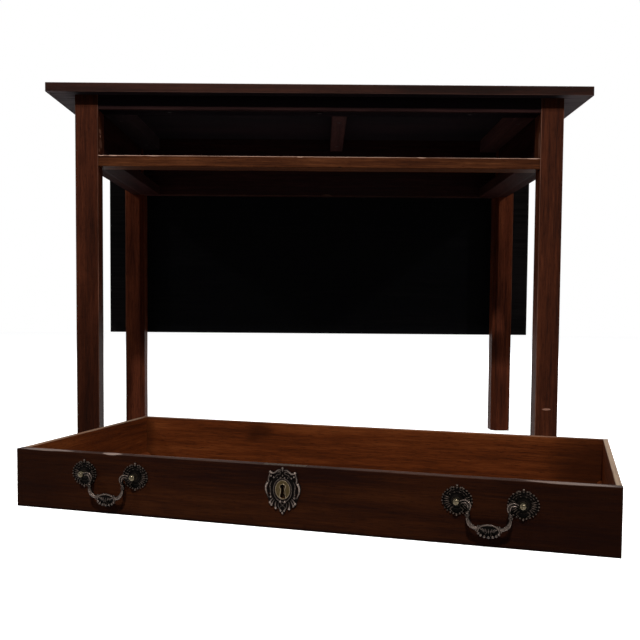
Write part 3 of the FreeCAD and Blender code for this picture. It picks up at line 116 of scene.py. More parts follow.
class Nodes:
    """A node tree in which patterns are put together."""

    def __init__(self, tree):
        self.tree = tree

    def make(self, kind, settings, sockets, output=0):
        """Adds a node: its settings first, then the values and links of its sockets."""
        node = self.tree.nodes.new(kind)
        for name, value in settings.items():
            setattr(node, name, value)
        for key, value in sockets.items():
            self.join(value, node.inputs[key])
        return Pattern(self, node.outputs[output])

    def join(self, value, socket):
        """Links a pattern to a socket, or sets the socket to a plain value."""
        if isinstance(value, Pattern):
            self.tree.links.new(value.socket, socket)
        else:
            socket.default_value = value

    def vector(self, operation, first, second, output=0):
        settings = {"operation": operation}
        return self.make("ShaderNodeVectorMath", settings, {0: first, 1: second}, output)

    def noise(self, place, detail=2.0, distortion=0.0, roughness=0.5):
        return self.make("ShaderNodeTexNoise", {}, {
            "Vector": place, "Scale": 1.0, "Detail": detail,
            "Roughness": roughness, "Distortion": distortion,
        })

    def axis(self, place, number):
        return self.make("ShaderNodeSeparateXYZ", {}, {0: place}, number)

    def distance(self, place, middle, half_sizes):
        """Distance from a point, counted in the half sizes of a mark."""
        away = self.vector("SUBTRACT", place, middle)
        counted = self.vector("MULTIPLY", away, tuple(1 / half for half in half_sizes))
        return self.vector("LENGTH", counted, (0, 0, 0), "Value")

    def blend(self, share, first, second):
        """Goes from the first colour to the second as the share goes from 0 to 1."""
        settings = {"data_type": "RGBA", "blend_type": "MIX", "clamp_factor": True}
        return self.make("ShaderNodeMix", settings, {0: share, 6: first, 7: second}, 2)

    def seen_directly(self):
        """1 for what the camera sees, also in metal and through glass."""
        path = self.tree.nodes.new("ShaderNodeLightPath")
        rays = ("Is Camera Ray", "Is Glossy Ray", "Is Transmission Ray")
        camera, glossy, through = (Pattern(self, path.outputs[name]) for name in rays)
        return camera.larger(glossy).larger(through)


class Finish(Nodes):
    """One material, with its shader and the nodes of its pattern."""

    def __init__(self, name, roughness, metallic=0.0, specular=0.5):
        self.material = bpy.data.materials.new(name)
        self.material.use_nodes = True
        super().__init__(self.material.node_tree)
        self.shader = self.tree.nodes["Principled BSDF"]
        self.shader.inputs["Roughness"].default_value = roughness
        self.shader.inputs["Metallic"].default_value = metallic
        self.shader.inputs["Specular IOR Level"].default_value = specular

    def feed(self, name, value, shader=None):
        self.join(value, (shader or self.shader).inputs[name])

    def bump(self, height, depth, strength, shader=None):
        sockets = {"Height": height, "Distance": depth, "Strength": strength}
        self.feed("Normal", self.make("ShaderNodeBump", {}, sockets), shader)

    def second_shader(self, roughness, specular):
        """A further shader in the same material."""
        shader = self.tree.nodes.new("ShaderNodeBsdfPrincipled")
        shader.inputs["Roughness"].default_value = roughness
        shader.inputs["Specular IOR Level"].default_value = specular
        return shader

    def mix_shaders(self, share, first, second):
        mixed = self.tree.nodes.new("ShaderNodeMixShader")
        self.join(share, mixed.inputs[0])
        self.tree.links.new(first.outputs[0], mixed.inputs[1])
        self.tree.links.new(second.outputs[0], mixed.inputs[2])
        surface = self.tree.nodes["Material Output"].inputs["Surface"]
        self.tree.links.new(mixed.outputs[0], surface)

    def place(self, frame_of_piece):
        """Object coordinates turned and moved into a piece's own frame, in metres."""
        back = frame_of_piece.inverted()
        coordinates = self.make("ShaderNodeTexCoord", {}, {}, "Object")
        turned = {0: coordinates, 1: back.to_translation(), 2: back.to_euler()}
        return self.make("ShaderNodeMapping", {"vector_type": "POINT"}, turned)


# Colours of each kind of wood: its dark grain, its body and its light figure, then bare worn wood.
# Some are darker or lighter copies of one wood, painted as shade or light.
POLISHED = (shade(24, 10, 7), shade(50, 24, 16), shade(74, 40, 28), shade(118, 84, 68))
EDGE = (shade(20, 9, 6), shade(37, 18, 12), shade(54, 29, 20), shade(86, 60, 52))
FRAME = (shade(28, 11, 6), shade(54, 24, 13), shade(78, 38, 22), shade(150, 108, 90))
# Painted light: lighter copies of FRAME for the back legs and the right front leg.
BACK_LEG_PAINTED_LIGHT = (shade(48, 22, 13), shade(91, 43, 26), shade(120, 61, 37), shade(150, 108, 84))
RIGHT_LEG_PAINTED_LIGHT = (shade(30, 13, 8), shade(58, 27, 15), shade(83, 42, 25), shade(150, 108, 90))
RAIL = (shade(38, 18, 10), shade(64, 33, 17), shade(92, 53, 30), shade(176, 142, 124))
FRONT = (shade(27, 11, 7), shade(44, 20, 9), shade(62, 31, 14), shade(172, 148, 136))
LINING = (shade(56, 24, 8), shade(82, 37, 13), shade(108, 56, 24), shade(156, 138, 117))
# Painted shade: the parts inside the frame are painted darker than the outer wood.
INNER = (shade(10, 3, 3), shade(24, 9, 8), shade(40, 18, 13), shade(92, 66, 54))
KICKER = (shade(28, 15, 14), shade(51, 29, 27), shade(70, 43, 38), shade(110, 80, 68))
# Painted shade: a darker copy of the kicker wood, for the left kicker.
KICKER_PAINTED_SHADE = (shade(14, 9, 10), shade(26, 17, 18), shade(38, 27, 28), shade(90, 70, 62))
# Painted shade: the back rail is painted darker than the outer rails.
BACK_RAIL = (shade(14, 4, 4), shade(32, 12, 11), shade(50, 24, 20), shade(92, 66, 54))
# Painted shade: the upper rail's wood, painted nearly black.
UPPER_RAIL_PAINTED_SHADE = (shade(4, 2, 4), shade(9, 4, 6), shade(17, 8, 10), shade(72, 46, 42))
# The fourth colours of UNDERSIDE and DARK are not bare wood: they are the painted light at the ends
# of the raw sides.
UNDERSIDE = (shade(5, 3, 4), shade(12, 6, 8), shade(24, 13, 14), shade(166, 158, 164))
DARK = (shade(1, 1, 1), shade(2, 2, 3), shade(11, 10, 11), shade(40, 36, 35))


def grow(finish, shader, colours, along, seed, where, gloss, worn=(), marks=(), smudges=()):
    """Paints wood on one shader, with its grain along one axis of its piece's frame.
    A worn edge is (planes, width, strength), each plane an axis and its level, and it lies where
    the planes meet; some worn edges are painted light. A mark is (middle, half sizes, strength) and
    shows bare wood. Smudges and patches of painted shade are the same and darken the wood softly."""
    place = finish.place(where)
    shifted = finish.vector("ADD", place, (seed * 1.37, seed * 2.11, seed * 0.73))

    def grain(length, width, **settings):
        factors = tuple(length if number == along else width for number in (X, Y, Z))
        return finish.noise(finish.vector("MULTIPLY", shifted, factors), **settings)

    def darker(share):
        return tuple(level * share for level in dark[:3]) + (1,)

    figure = grain(2.2, 24, detail=3.0, distortion=0.5)
    streak = grain(7, 190, detail=4.0, roughness=0.65)
    hair = grain(30, 1000, detail=1.0)
    blotch = grain(5, 9, detail=2.0)
    pores = grain(75, 1500, detail=1.0).between(0.58, 0.70)
    tone = figure * 0.34 + streak * 0.30 + blotch * 0.16 + hair * 0.20
    patchy = (blotch * 0.4 + streak * 0.6).between(0.38, 0.58)

    dark, body, light, bare = colours
    colour = finish.blend(tone.between(0.38, 0.52), dark, body)
    colour = finish.blend(tone.between(0.48, 0.64), colour, light)
    colour = finish.blend(pores * 0.6, colour, darker(0.4))
    wear = None
    for planes, width, strength in worn:
        edge = None
        for number, level in planes:
            near = 1 - abs(finish.axis(place, number) - level).between(width * 0.3, width)
            edge = near if edge is None else edge.smaller(near)
        rubbed = edge * (patchy * 0.75 + 0.25) * strength
        wear = rubbed if wear is None else wear.larger(rubbed)
    for middle, half_sizes, strength in marks:
        rough_edge = finish.distance(place, middle, half_sizes) + streak * 0.8 - 0.4
        chipped = (1 - rough_edge.between(0.75, 1.0)) * strength
        wear = chipped if wear is None else wear.larger(chipped)
    if wear is not None:
        colour = finish.blend(wear, colour, bare)
    # These darkenings are smudges and painted shade.
    for middle, half_sizes, strength in smudges:
        soft_edge = finish.distance(place, middle, half_sizes) + blotch * 0.5 - 0.25
        darkened = (1 - soft_edge.between(0.2, 1.0)) * strength
        colour = finish.blend(darkened, colour, darker(0.45))

    finish.feed("Base Color", colour, shader)
    finish.feed("Roughness", (gloss - 0.06) + pores * 0.14 + blotch * 0.12, shader)
    finish.bump(streak * 0.5 + hair * 0.3 - pores, 0.00025, 0.6, shader)


def wood(name, colours, along, seed, where=TABLE, gloss=0.5, polish=0.03, **wear):
    """One kind of wood all over a piece."""
    finish = Finish(name, roughness=gloss, specular=polish)
    grow(finish, finish.shader, colours, along, seed, where, gloss, **wear)
    return finish


def two_faced(name, show, hidden, axis, level, seed, raw_polish, painted_light_ends, worn):
    """Polished wood along X that is raw on the side below a level of one axis."""
    gloss, raw_gloss, seam = 0.42, 0.8, 0.0004
    finish = Finish(name, roughness=gloss, specular=0.04)
    grow(finish, finish.shader, show, X, seed, TABLE, gloss, worn=worn)
    raw = finish.second_shader(roughness=raw_gloss, specular=raw_polish)
    # The raw side is painted paler towards its ends, as painted light.
    grow(finish, raw, hidden, X, seed + 40, TABLE, raw_gloss, worn=painted_light_ends)
    below = 1 - finish.axis(finish.place(TABLE), axis).between(level - seam, level + seam)
    finish.mix_shaders(below, finish.shader, raw)
    return finish


def metal(name, patina, bare, roughness, where=TABLE, proud=0.0, depth=0.003):
    """Aged metal: dark in its hollows, and rubbed bright where it stands proud of the face behind
    it, from one height in metres over a further depth."""
    finish = Finish(name, roughness=roughness, metallic=0.9, specular=0.03)
    place = finish.place(where)

    def grit(fineness, **settings):
        return finish.noise(finish.vector("MULTIPLY", place, (fineness,) * 3), **settings)

    cloud = grit(260, detail=3.0, roughness=0.6)
    speck = grit(1300, detail=2.0)
    rubbed = (cloud * 0.6 + speck * 0.4).between(0.38, 0.54)
    if proud:
        height = (0 - finish.axis(place, Y)).between(proud, proud + depth)
        rubbed = height * (rubbed * 0.6 + 0.4)
    finish.feed("Base Color", finish.blend(rubbed, patina, bare))
    finish.feed("Roughness", (roughness + 0.12) - rubbed * 0.2 + speck * 0.08)
    finish.feed("Metallic", rubbed * 0.3 + 0.65)
    finish.bump(cloud * 0.5 + speck * 0.5, 0.0002, 0.5)
    return finish


def dress(node_name, finish):
    """Gives a solid of the frame its material."""
    node = nodes[node_name]
    node.data.materials.clear()
    node.data.materials.append(finish.material)


def long_edges(low, high, lengthwise, width, strength):
    """Worn lines along the four long edges of a box."""
    first, second = [number for number in (X, Y, Z) if number != lengthwise]
    return [
        (((first, a), (second, b)), width, strength)
        for a in (low[first], high[first])
        for b in (low[second], high[second])
    ]


def dress_top_and_leaf():
    """The shown sides are polished. The undersides are raw, and painted paler towards both ends: a
    painted reflection on the top's underside, and painted side light on the leaf's hidden face.
    """
    low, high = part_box("table_top")
    worn = [
        (((Y, low.y), (Z, high.z)), 0.002, 0.5),
        (((Y, low.y), (Z, low.z)), 0.0022, 0.45),
        (((X, low.x), (Z, high.z)), 0.002, 0.4),
        (((X, high.x), (Z, high.z)), 0.002, 0.4),
    ]
    # Painted reflection: the ends of the top's underside are painted pale.
    painted_light_ends = [(((X, low.x),), 0.064, 1.6), (((X, high.x),), 0.075, 2.2)]
    skin = 0.0005
    dress("table_top", two_faced(
        "table_top_wood", EDGE, UNDERSIDE, Z, low.z + skin, 1, 0.035, painted_light_ends, worn))
    low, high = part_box("drop_leaf")
    worn = [(((Y, high.y), (Z, low.z)), 0.003, 0.5)]
    # Painted light: the ends of the leaf's hidden face are painted paler.
    painted_light_ends = [(((X, low.x),), 0.09, 0.3), (((X, high.x),), 0.09, 0.36)]
    dress("drop_leaf", two_faced(
        "drop_leaf_wood", POLISHED, DARK, Y, low.y + skin, 2, 0.025, painted_light_ends, worn))


def dress_legs():
    """Each leg has rubbed edges. The dents, scratches and darker feet are where the photo shows
    them."""
    left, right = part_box("front_leg_left"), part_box("front_leg_right")
    front = left[0].y
    inner_left, inner_right = left[1].x, right[0].x
    dents = [
        ((inner_left, front + 0.018, 0.6445), (0.003, 0.004, 0.0035), 1.0),
        ((inner_left, front + 0.020, 0.630), (0.003, 0.012, 0.010), 0.22),
        ((inner_left, front + 0.016, 0.654), (0.003, 0.010, 0.005), 0.4),
        ((inner_left, front + 0.010, 0.616), (0.003, 0.006, 0.004), 0.4),
    ]
    scratches = [
        ((inner_right + 0.022, front, 0.106), (0.010, 0.003, 0.0022), 0.8),
        ((inner_right, front + 0.012, 0.63), (0.003, 0.008, 0.03), 0.3),
    ]
    dark_foot = [((left[0].x + 0.0225, front, 0.05), (0.2, 0.2, 0.42), 0.55)]
    dark_feet = [((0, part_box("back_leg_left")[0].y, 0.1), (0.8, 0.3, 0.4), 0.85)]
    # The back legs and the right front leg take lighter copies of the front leg's wood, as painted
    # light.
    for number, (name, colours, marks, smudges) in enumerate((
        ("front_leg_left", FRAME, dents, dark_foot),
        ("front_leg_right", RIGHT_LEG_PAINTED_LIGHT, scratches, ()),
        ("back_leg_left", BACK_LEG_PAINTED_LIGHT, (), dark_feet),
        ("back_leg_right", BACK_LEG_PAINTED_LIGHT, (), dark_feet),
    )):
        dress(name, wood(
            name + "_wood", colours, Z, 3 + number, polish=0.02,
            worn=long_edges(*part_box(name), Z, 0.0016, 0.35), marks=marks, smudges=smudges))


def dress_rails():
    """The rails, of which the lower one in front shows chips along its arris."""
    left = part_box("front_leg_left")[1].x
    low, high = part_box("lower_front_rail")
    chips = [((left + at, low.y, high.z), (half, 0.003, 0.0018), 1.0) for at, half in (
        (0.004, 0.010), (0.030, 0.012), (0.108, 0.018), (0.860, 0.014), (0.640, 0.010),
        (0.400, 0.008))]
    dress("lower_front_rail", wood(
        "lower_rail_wood", RAIL, X, 8, polish=0.01, worn=[(((Y, low.y), (Z, high.z)), 0.0016, 0.9)],
        marks=chips, smudges=[((left + 0.478, low.y, low.z), (0.006, 0.004, 0.004), 1.0)]))
    low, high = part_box("upper_front_rail")
    # The upper rail's wood is painted dark as painted shade, and its wide paler band along the
    # lower front edge is edge wear widened into painted light.
    dress("upper_front_rail", wood(
        "upper_rail_wood", UPPER_RAIL_PAINTED_SHADE, X, 9, polish=0.01,
        worn=[(((Y, low.y), (Z, low.z)), 0.009, 0.34)]))
    # The back rail's darker wood is painted shade.
    low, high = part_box("back_rail")
    dress("back_rail", wood(
        "back_rail_wood", BACK_RAIL, X, 10, worn=[(((Y, low.y), (Z, low.z)), 0.0022, 0.8)],
        marks=[((0.018, low.y, low.z), (0.016, 0.004, 0.005), 0.9)]))


def dress_inside():
    """What is inside the frame and behind it is dull, and painted dark as painted shade."""
    for name, along, seed, look in (
        ("side_rail", Y, 11, {"gloss": 0.7, "polish": 0.008}),
        ("drawer_runner", Y, 13, {"gloss": 0.7, "polish": 0.012}),
        ("drawer_guide", Y, 15, {"gloss": 0.7, "polish": 0.02}),
        ("fly_bracket", X, 17, {"gloss": 0.6}),
    ):
        for number, side in enumerate(("_left", "_right")):
            stem = name.removeprefix("drawer_") + side
            dress(name + side, wood(stem + "_wood", INNER, along, seed + number, **look))
    for name, colours, seed in (
        # The left kicker is painted darker, as painted shade.
        ("kicker_left", KICKER_PAINTED_SHADE, 19),
        ("kicker_middle", KICKER, 20),
        ("kicker_right", KICKER, 21),
    ):
        dress(name, wood(name + "_wood", colours, Y, seed, gloss=0.65))
    dress("drawer_stops", wood("stop_wood", INNER, X, 22, gloss=0.7))
    dress("fly_rail", wood("fly_rail_wood", INNER, X, 23, gloss=0.6))


def dress_drawer():
    """The front is dark and polished, and the box behind it has the colour of raw wood."""
    left, right, top = -DRAWER_HALF_WIDTH, DRAWER_HALF_WIDTH, DRAWER_TOP
    rubbed = [
        (((Z, top),), 0.0008, 0.06),
        (((Y, FRONT_INNER_FACE), (Z, top)), 0.0018, 0.3),
        (((Y, 0), (Z, 0)), 0.0016, 0.3),
        (((X, left), (Y, 0)), 0.0014, 0.3),
        (((X, right), (Y, 0)), 0.0014, 0.15),
    ]
    pale = [((at, 0.006, top), (half, 0.008, 0.002), 0.7) for at, half in (
        (-0.388, 0.050), (-0.275, 0.017), (0.376, 0.061))]
    # Darker towards both ends of the front, and a painted contact shadow along its bottom edge.
    dull = [
        ((-0.45, 0, 0.05), (0.26, 0.2, 0.3), 0.6),
        ((0.45, 0, 0.05), (0.26, 0.2, 0.3), 0.6),
        ((0, 0, 0), (3, 0.05, 0.006), 0.9),
    ]
    dress("drawer_front", wood(
        "drawer_front_wood", FRONT, X, 30, DRAWER, gloss=0.45, polish=0.012,
        worn=rubbed, marks=pale, smudges=dull))
    # The pale top edges of the sides are worn wood with a painted highlight, stronger on the right
    # side.
    for number, (side, rim) in enumerate((("left", 0.45), ("right", 0.68))):
        dress("drawer_side_" + side, wood(
            f"drawer_side_{side}_wood", LINING, Y, 31 + number, DRAWER, gloss=0.65,
            worn=[(((Z, top),), 0.0018, rim)]))
        dress("drawer_slip_" + side, wood(
            f"drawer_slip_{side}_wood", LINING, Y, 33 + number, DRAWER, gloss=0.7))
    # A smudge on the back's inner face, and painted shade over its right part and in its left
    # corner.
    smudge_and_painted_corner_shade = [
        ((-0.189, BACK_INNER_FACE, 0.073), (0.036, 0.01, 0.022), 0.6),
        ((-0.205, BACK_INNER_FACE, 0.058), (0.018, 0.01, 0.014), 0.4),
        ((0.42, BACK_INNER_FACE, 0.04), (0.13, 0.02, 0.09), 0.75),
        ((-0.432, BACK_INNER_FACE, 0.04), (0.032, 0.02, 0.09), 0.6),
    ]
    dress("drawer_back", wood(
        "drawer_back_wood", LINING, X, 35, DRAWER, gloss=0.62,
        worn=[(((Z, top),), 0.0016, 0.3)], smudges=smudge_and_painted_corner_shade))
    dress("drawer_bottom", wood("drawer_bottom_wood", LINING, X, 36, DRAWER, gloss=0.7))


class Casting:
    """A shape put together from cast and turned parts, in millimetres, lying on its back."""

    def __init__(self):
        self.mesh = bmesh.new()

    def take_in(self, curve):
        """Adds the mesh of a curve that has a bevel or a filled outline."""
        holder = bpy.data.objects.new("curve", curve)
        made = bpy.data.meshes.new_from_object(holder)
        self.mesh.from_mesh(made)
        bpy.data.objects.remove(holder)
        bpy.data.meshes.remove(made)
        bpy.data.curves.remove(curve)

    def plate(self, outlines, thickness, edge, level=0.0):
        """A plate cut to an outline and pierced by further ones, with a rounded edge."""
        curve = bpy.data.curves.new("plate", "CURVE")
        curve.dimensions = "2D"
        curve.fill_mode = "BOTH"
        curve.extrude = thickness / 2 - edge
        curve.bevel_depth = edge
        curve.bevel_resolution = 2
        curve.resolution_u = 5
        for outline in outlines:
            spline = curve.splines.new("BEZIER")
            spline.bezier_points.add(len(outline) - 1)
            spline.use_cyclic_u = True
            for knot, (x, y) in zip(spline.bezier_points, outline):
                knot.co = (x, y, 0)
                knot.handle_left_type = knot.handle_right_type = "AUTO"
        start = len(self.mesh.verts)
        self.take_in(curve)
        self.mesh.verts.ensure_lookup_table()
        added = self.mesh.verts[start:]
        bmesh.ops.translate(self.mesh, verts=added, vec=(0, 0, level + thickness / 2))

    def bar(self, points, closed=False, sides=3):
        """A round bar along points, each given as x, y, z and the bar's radius there."""
        curve = bpy.data.curves.new("bar", "CURVE")
        curve.dimensions = "3D"
        curve.bevel_depth = 1
        curve.bevel_resolution = sides
        curve.resolution_u = 6
        curve.use_fill_caps = True
        spline = curve.splines.new("NURBS")
        spline.points.add(len(points) - 1)
        for knot, (x, y, z, radius) in zip(spline.points, points):
            knot.co = (x, y, z, 1)
            knot.radius = radius
        spline.order_u = 3
        spline.use_cyclic_u = closed
        spline.use_endpoint_u = not closed
        self.take_in(curve)

    def bead(self, x, y, z, radius, stretch=(1, 1, 1), turn=0.0, fine=False):
        """A round or stretched bead, turned in the plane of the plate."""
        place = Matrix.Translation((x, y, z)) @ Matrix.Rotation(turn, 4, "Z")
        round_steps, upright_steps = (20, 12) if fine else (10, 7)
        bmesh.ops.create_uvsphere(
            self.mesh, u_segments=round_steps, v_segments=upright_steps, radius=radius,
            matrix=place @ Matrix.Diagonal((*stretch, 1)))

    def turned(self, profile, steps=40):
        """A shape turned from a profile of (radius, height) about the upright middle line."""
        before = set(self.mesh.verts)
        points = [self.mesh.verts.new((radius, 0, height)) for radius, height in profile]
        edges = [self.mesh.edges.new(pair) for pair in zip(points, points[1:])]
        bmesh.ops.spin(
            self.mesh, geom=points + edges, cent=(0, 0, 0), axis=(0, 0, 1), angle=math.tau,
            steps=steps, use_merge=True)
        added = [vertex for vertex in self.mesh.verts if vertex not in before]
        bmesh.ops.remove_doubles(self.mesh, verts=added, dist=0.001)

    def hand_over(self, name, places, body, finish, replaced):
        """Makes one piece with the shape at each of its places, puts it under its body and hides
        the solid that it replaces.
        """
        bmesh.ops.remove_doubles(self.mesh, verts=self.mesh.verts, dist=0.0005)
        bmesh.ops.recalc_face_normals(self.mesh, faces=self.mesh.faces)
        whole = bmesh.new()
        for place in places:
            copy = bpy.data.meshes.new("copy")
            self.mesh.to_mesh(copy)
            copy.transform(place)
            whole.from_mesh(copy)
            bpy.data.meshes.remove(copy)
        shape = bpy.data.meshes.new(name)
        whole.to_mesh(shape)
        whole.free()
        for face in shape.polygons:
            face.use_smooth = True
        shape.set_sharp_from_angle(angle=math.radians(50))
        shape.materials.append(finish.material)
        piece = bpy.data.objects.new(name, shape)
        bpy.context.scene.collection.objects.link(piece)
        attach(piece, body)
        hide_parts(replaced)

    def hand_over_pair(self, name, places_at, body, finish, replaced):
        """Hands over the same shape for both pulls, with the side in place of {} in a name."""
        for side, middle in PULL_MIDDLES:
            self.hand_over(
                name.format(side), places_at(middle), body.format(side), finish,
                replaced.format(side))


def oval(across, up, x=0.0, y=0.0, count=12):
    """Points round an oval, of which across and up are the half sizes."""
    angles = [math.tau * step / count for step in range(count)]
    return [(x + math.cos(angle) * across, y + math.sin(angle) * up) for angle in angles]


def round_rim(across, up, degrees):
    """A place on an oval's rim, and the angle there."""
    angle = math.radians(degrees)
    return across * math.cos(angle), up * math.sin(angle), angle


def mirrored(points):
    """The same points on the other side of the upright middle line."""
    return [(-x, y) for x, y in points]


def wire(points, level, radius):
    """A bar of one thickness along points of (x, y)."""
    return [(x, y, level, radius) for x, y in points]


def tapered(points, level, side):
    """A bar along points of (x, y, radius), or its mirror image where side is -1."""
    return [(x * side, y, level, radius) for x, y, radius in points]


# Where the brasses sit, in millimetres along and up the drawer's face, and how far the bails'
# pivots stand out from it
PULL_MIDDLES = (("left", -275), ("right", 275))
PULL_HEIGHT = 58.5
POST_HALF = 42
POST_REACH = 11
ESCUTCHEON_MIDDLE = (-6, 54.3)
KEYHOLE_MIDDLE = (-6, 55.3)


def post_places(middle):
    return [on_drawer(middle + POST_HALF * side, PULL_HEIGHT) for side in (-1, 1)]


def bail_places(middle):
    return [on_drawer(middle, PULL_HEIGHT)]


def make_rosettes(finish):
    """Back plates: beads and scrolls round the rim, and a ribbed shell on each side."""
    rosette = Casting()
    rosette.plate([oval(19.0, 16.6, count=16)], 0.9, 0.3)
    rosette.bar(wire(oval(12.8, 11.2, count=20), 0.9, 0.9), closed=True)
    curls = [
        [(3.2, 15.4, 0.8), (5.6, 17.2, 1.1), (8.2, 16.2, 1.2), (8.4, 13.8, 1.0), (6.2, 13.4, 0.8)],
        [(4.6, -8.6, 0.7), (8.0, -10.2, 1.0), (8.6, -13.2, 1.0), (5.4, -15.0, 0.9)],
    ]
    small_beads = [
        (4.0, -17.0, 1.6), (8.2, -15.9, 1.4), (12.2, -13.6, 1.5), (15.6, -10.6, 1.3),
        (9.0, 7.4, 1.1), (3.4, 10.2, 1.1),
    ]
    for side in (-1, 1):
        for step in range(1, 9):
            x, y, _ = round_rim(19.3, 17.2, 90 - 13.5 * step)
            rosette.bead(x * side, y, 1.8, (1.2, 1.5)[step % 2], (1.0, 0.9, 0.85))
        for degrees in (72, 55, 38):
            x, y, angle = round_rim(15.6, 13.9, degrees)
            turn = angle if side > 0 else math.pi - angle
            rosette.bead(x * side, y, 1.5, 1.3, (0.7, 1.7, 0.8), turn)
        for degrees in (18, 6, -6, -18, -30, -42):
            x, y, angle = round_rim(13.6, 12.6, degrees)
            turn = angle if side > 0 else math.pi - angle
            rosette.bead(x * side, y, 1.5, 4.3, (1.0, 0.20, 0.30), turn)
        for curl in curls:
            rosette.bar(tapered(curl, 1.6, side))
        for x, y, size in small_beads:
            rosette.bead(x * side, y, 1.6, size)
    rosette.bead(0, 19.2, 1.8, 1.9, fine=True)
    rosette.bead(0, 16.6, 1.6, 1.5)
    rosette.bead(0, -18.6, 1.8, 1.9, (0.85, 1.2, 0.9), fine=True)
    rosette.turned([
        (0, 0.4), (7.6, 0.4), (8.0, 1.5), (6.4, 1.8), (5.2, 1.5), (4.4, 2.0), (0, 2.2)])
    rosette.hand_over_pair("rosettes_{}", post_places, "drawer", finish, "pull_rosettes_{}")


def make_posts(finish):
    """Round-headed posts that hold the ends of the bail."""
    post = Casting()
    radius = 5.1
    foot = [(0, -18.2), (2.5, -18.2), (2.5, 3.6), (4.6, 3.9), (4.8, 4.6), (3.4, 5.2), (2.1, 5.8)]
    ball = [round_rim(radius, radius, degrees)[:2] for degrees in range(-66, 90, 12)]
    head = [(out, POST_REACH + height) for out, height in ball]
    post.turned(foot + head + [(0, POST_REACH + radius)], steps=32)
    post.hand_over_pair("posts_{}", post_places, "drawer", finish, "pull_posts_{}")


def make_bails(finish):
    """Swan-necked bails: leafed shoulders, a collar on each neck and a beaded middle."""
    bail = Casting()
    z = POST_REACH
    neck = [
        (38.2, 0, 0, 1.4), (35.0, 1.4, 0, 1.6), (31.6, 2.6, 0, 1.9), (27.8, 2.0, 0, 2.3),
        (25.7, -1.2, 0, 2.3), (25.2, -5.6, 0, 2.1), (26.0, -9.6, 0, 2.2), (27.0, -12.6, 0, 2.2),
        (27.2, -16.6, 0.2, 2.1), (26.6, -21.2, 0.5, 2.2), (24.4, -26.4, 0.9, 2.5),
        (20.4, -30.4, 1.0, 2.7), (16.0, -31.8, 0.9, 2.5), (12.4, -30.6, 0.4, 2.1),
        (9.0, -28.8, 0, 1.7),
    ]
    strands = [
        [(37.0, 1.8, 0.6), (33.6, 3.6, 0.8), (29.8, 3.8, 0.9), (25.8, 2.2, 1.0), (23.3, -1.0, 1.0),
         (23.0, -5.2, 0.9), (24.4, -8.6, 0.7)],
        [(35.0, -0.4, 0.6), (31.2, 0.6, 0.8), (28.4, -0.2, 0.9), (26.6, -2.8, 0.9),
         (26.4, -6.4, 0.7)],
        [(28.2, -19.0, 0.6), (27.6, -23.6, 1.0), (25.0, -28.2, 1.4), (21.2, -30.8, 1.6),
         (17.2, -31.4, 1.2)],
    ]
    outer_band = [(13.2, -27.2, 0.9), (14.6, -31.0, 1.1), (16.4, -35.2, 0.9)]
    inner_band = [(10.8, -27.4, 0.8), (12.2, -31.4, 1.0), (14.4, -36.2, 0.9)]
    for side in (-1, 1):
        bail.bar([(x * side, y, z + lift, radius) for x, y, lift, radius in neck], sides=4)
        for strand in strands:
            bail.bar(tapered(strand, z + 2.6, side))
        bail.bead(27.0 * side, -11.6, z, 3.3, (1.1, 0.36, 1.05), -0.25 * side)
        bail.bead(27.2 * side, -13.8, z, 3.0, (1.05, 0.34, 1.05), -0.05 * side)
        for x, y, tilt in ((25.4, -16.4, 0.25), (27.4, -16.8, 0.0), (29.2, -16.2, -0.25)):
            bail.bead(x * side, y, z + 1.2, 2.3, (0.38, 1.0, 0.7), tilt * side)
        bail.bar(tapered(outer_band, z + 1.9, side))
        bail.bar(tapered(inner_band, z + 2.0, side))
        for x, y, tilt in ((4.2, -33.0, 0.9), (6.4, -35.4, 1.3), (3.4, -37.6, 2.2)):
            bail.bead(x * side, y, z + 1.2, 2.2, (0.4, 1.1, 0.5), -tilt * side)
    bail.plate([oval(13.6, 7.8, 0, -35.0, 14)], 2.4, 0.8, z - 0.8)
    half_rim = [(13.4, -31.6), (9.6, -28.6), (5.0, -27.0)]
    rim = mirrored(half_rim) + [(0, -26.4)] + half_rim[::-1]
    bail.bar(wire(rim, z + 1.8, 1.25))
    for step in range(-3, 4):
        x, y, angle = round_rim(13.6, 7.0, -90 + 23 * step)
        turn = angle - math.pi / 2
        bail.bead(x, y - 35.2, z + 1.4, 2.1, (0.85, 1.0, 0.8), turn, fine=True)
    leaves = [
        (-9.0, 1.05), (-6.2, 0.75), (-3.2, 0.4), (0, 0), (3.2, -0.4), (6.2, -0.75), (9.0, -1.05)]
    for x, tilt in leaves:
        bail.bead(x, -34.6 + abs(x) * 0.22, z + 1.7, 3.4, (0.26, 1.0, 0.34), tilt)
    bail.hand_over_pair("swan_neck_bail_{}", bail_places, "{}_bail", finish, "bail_{}")


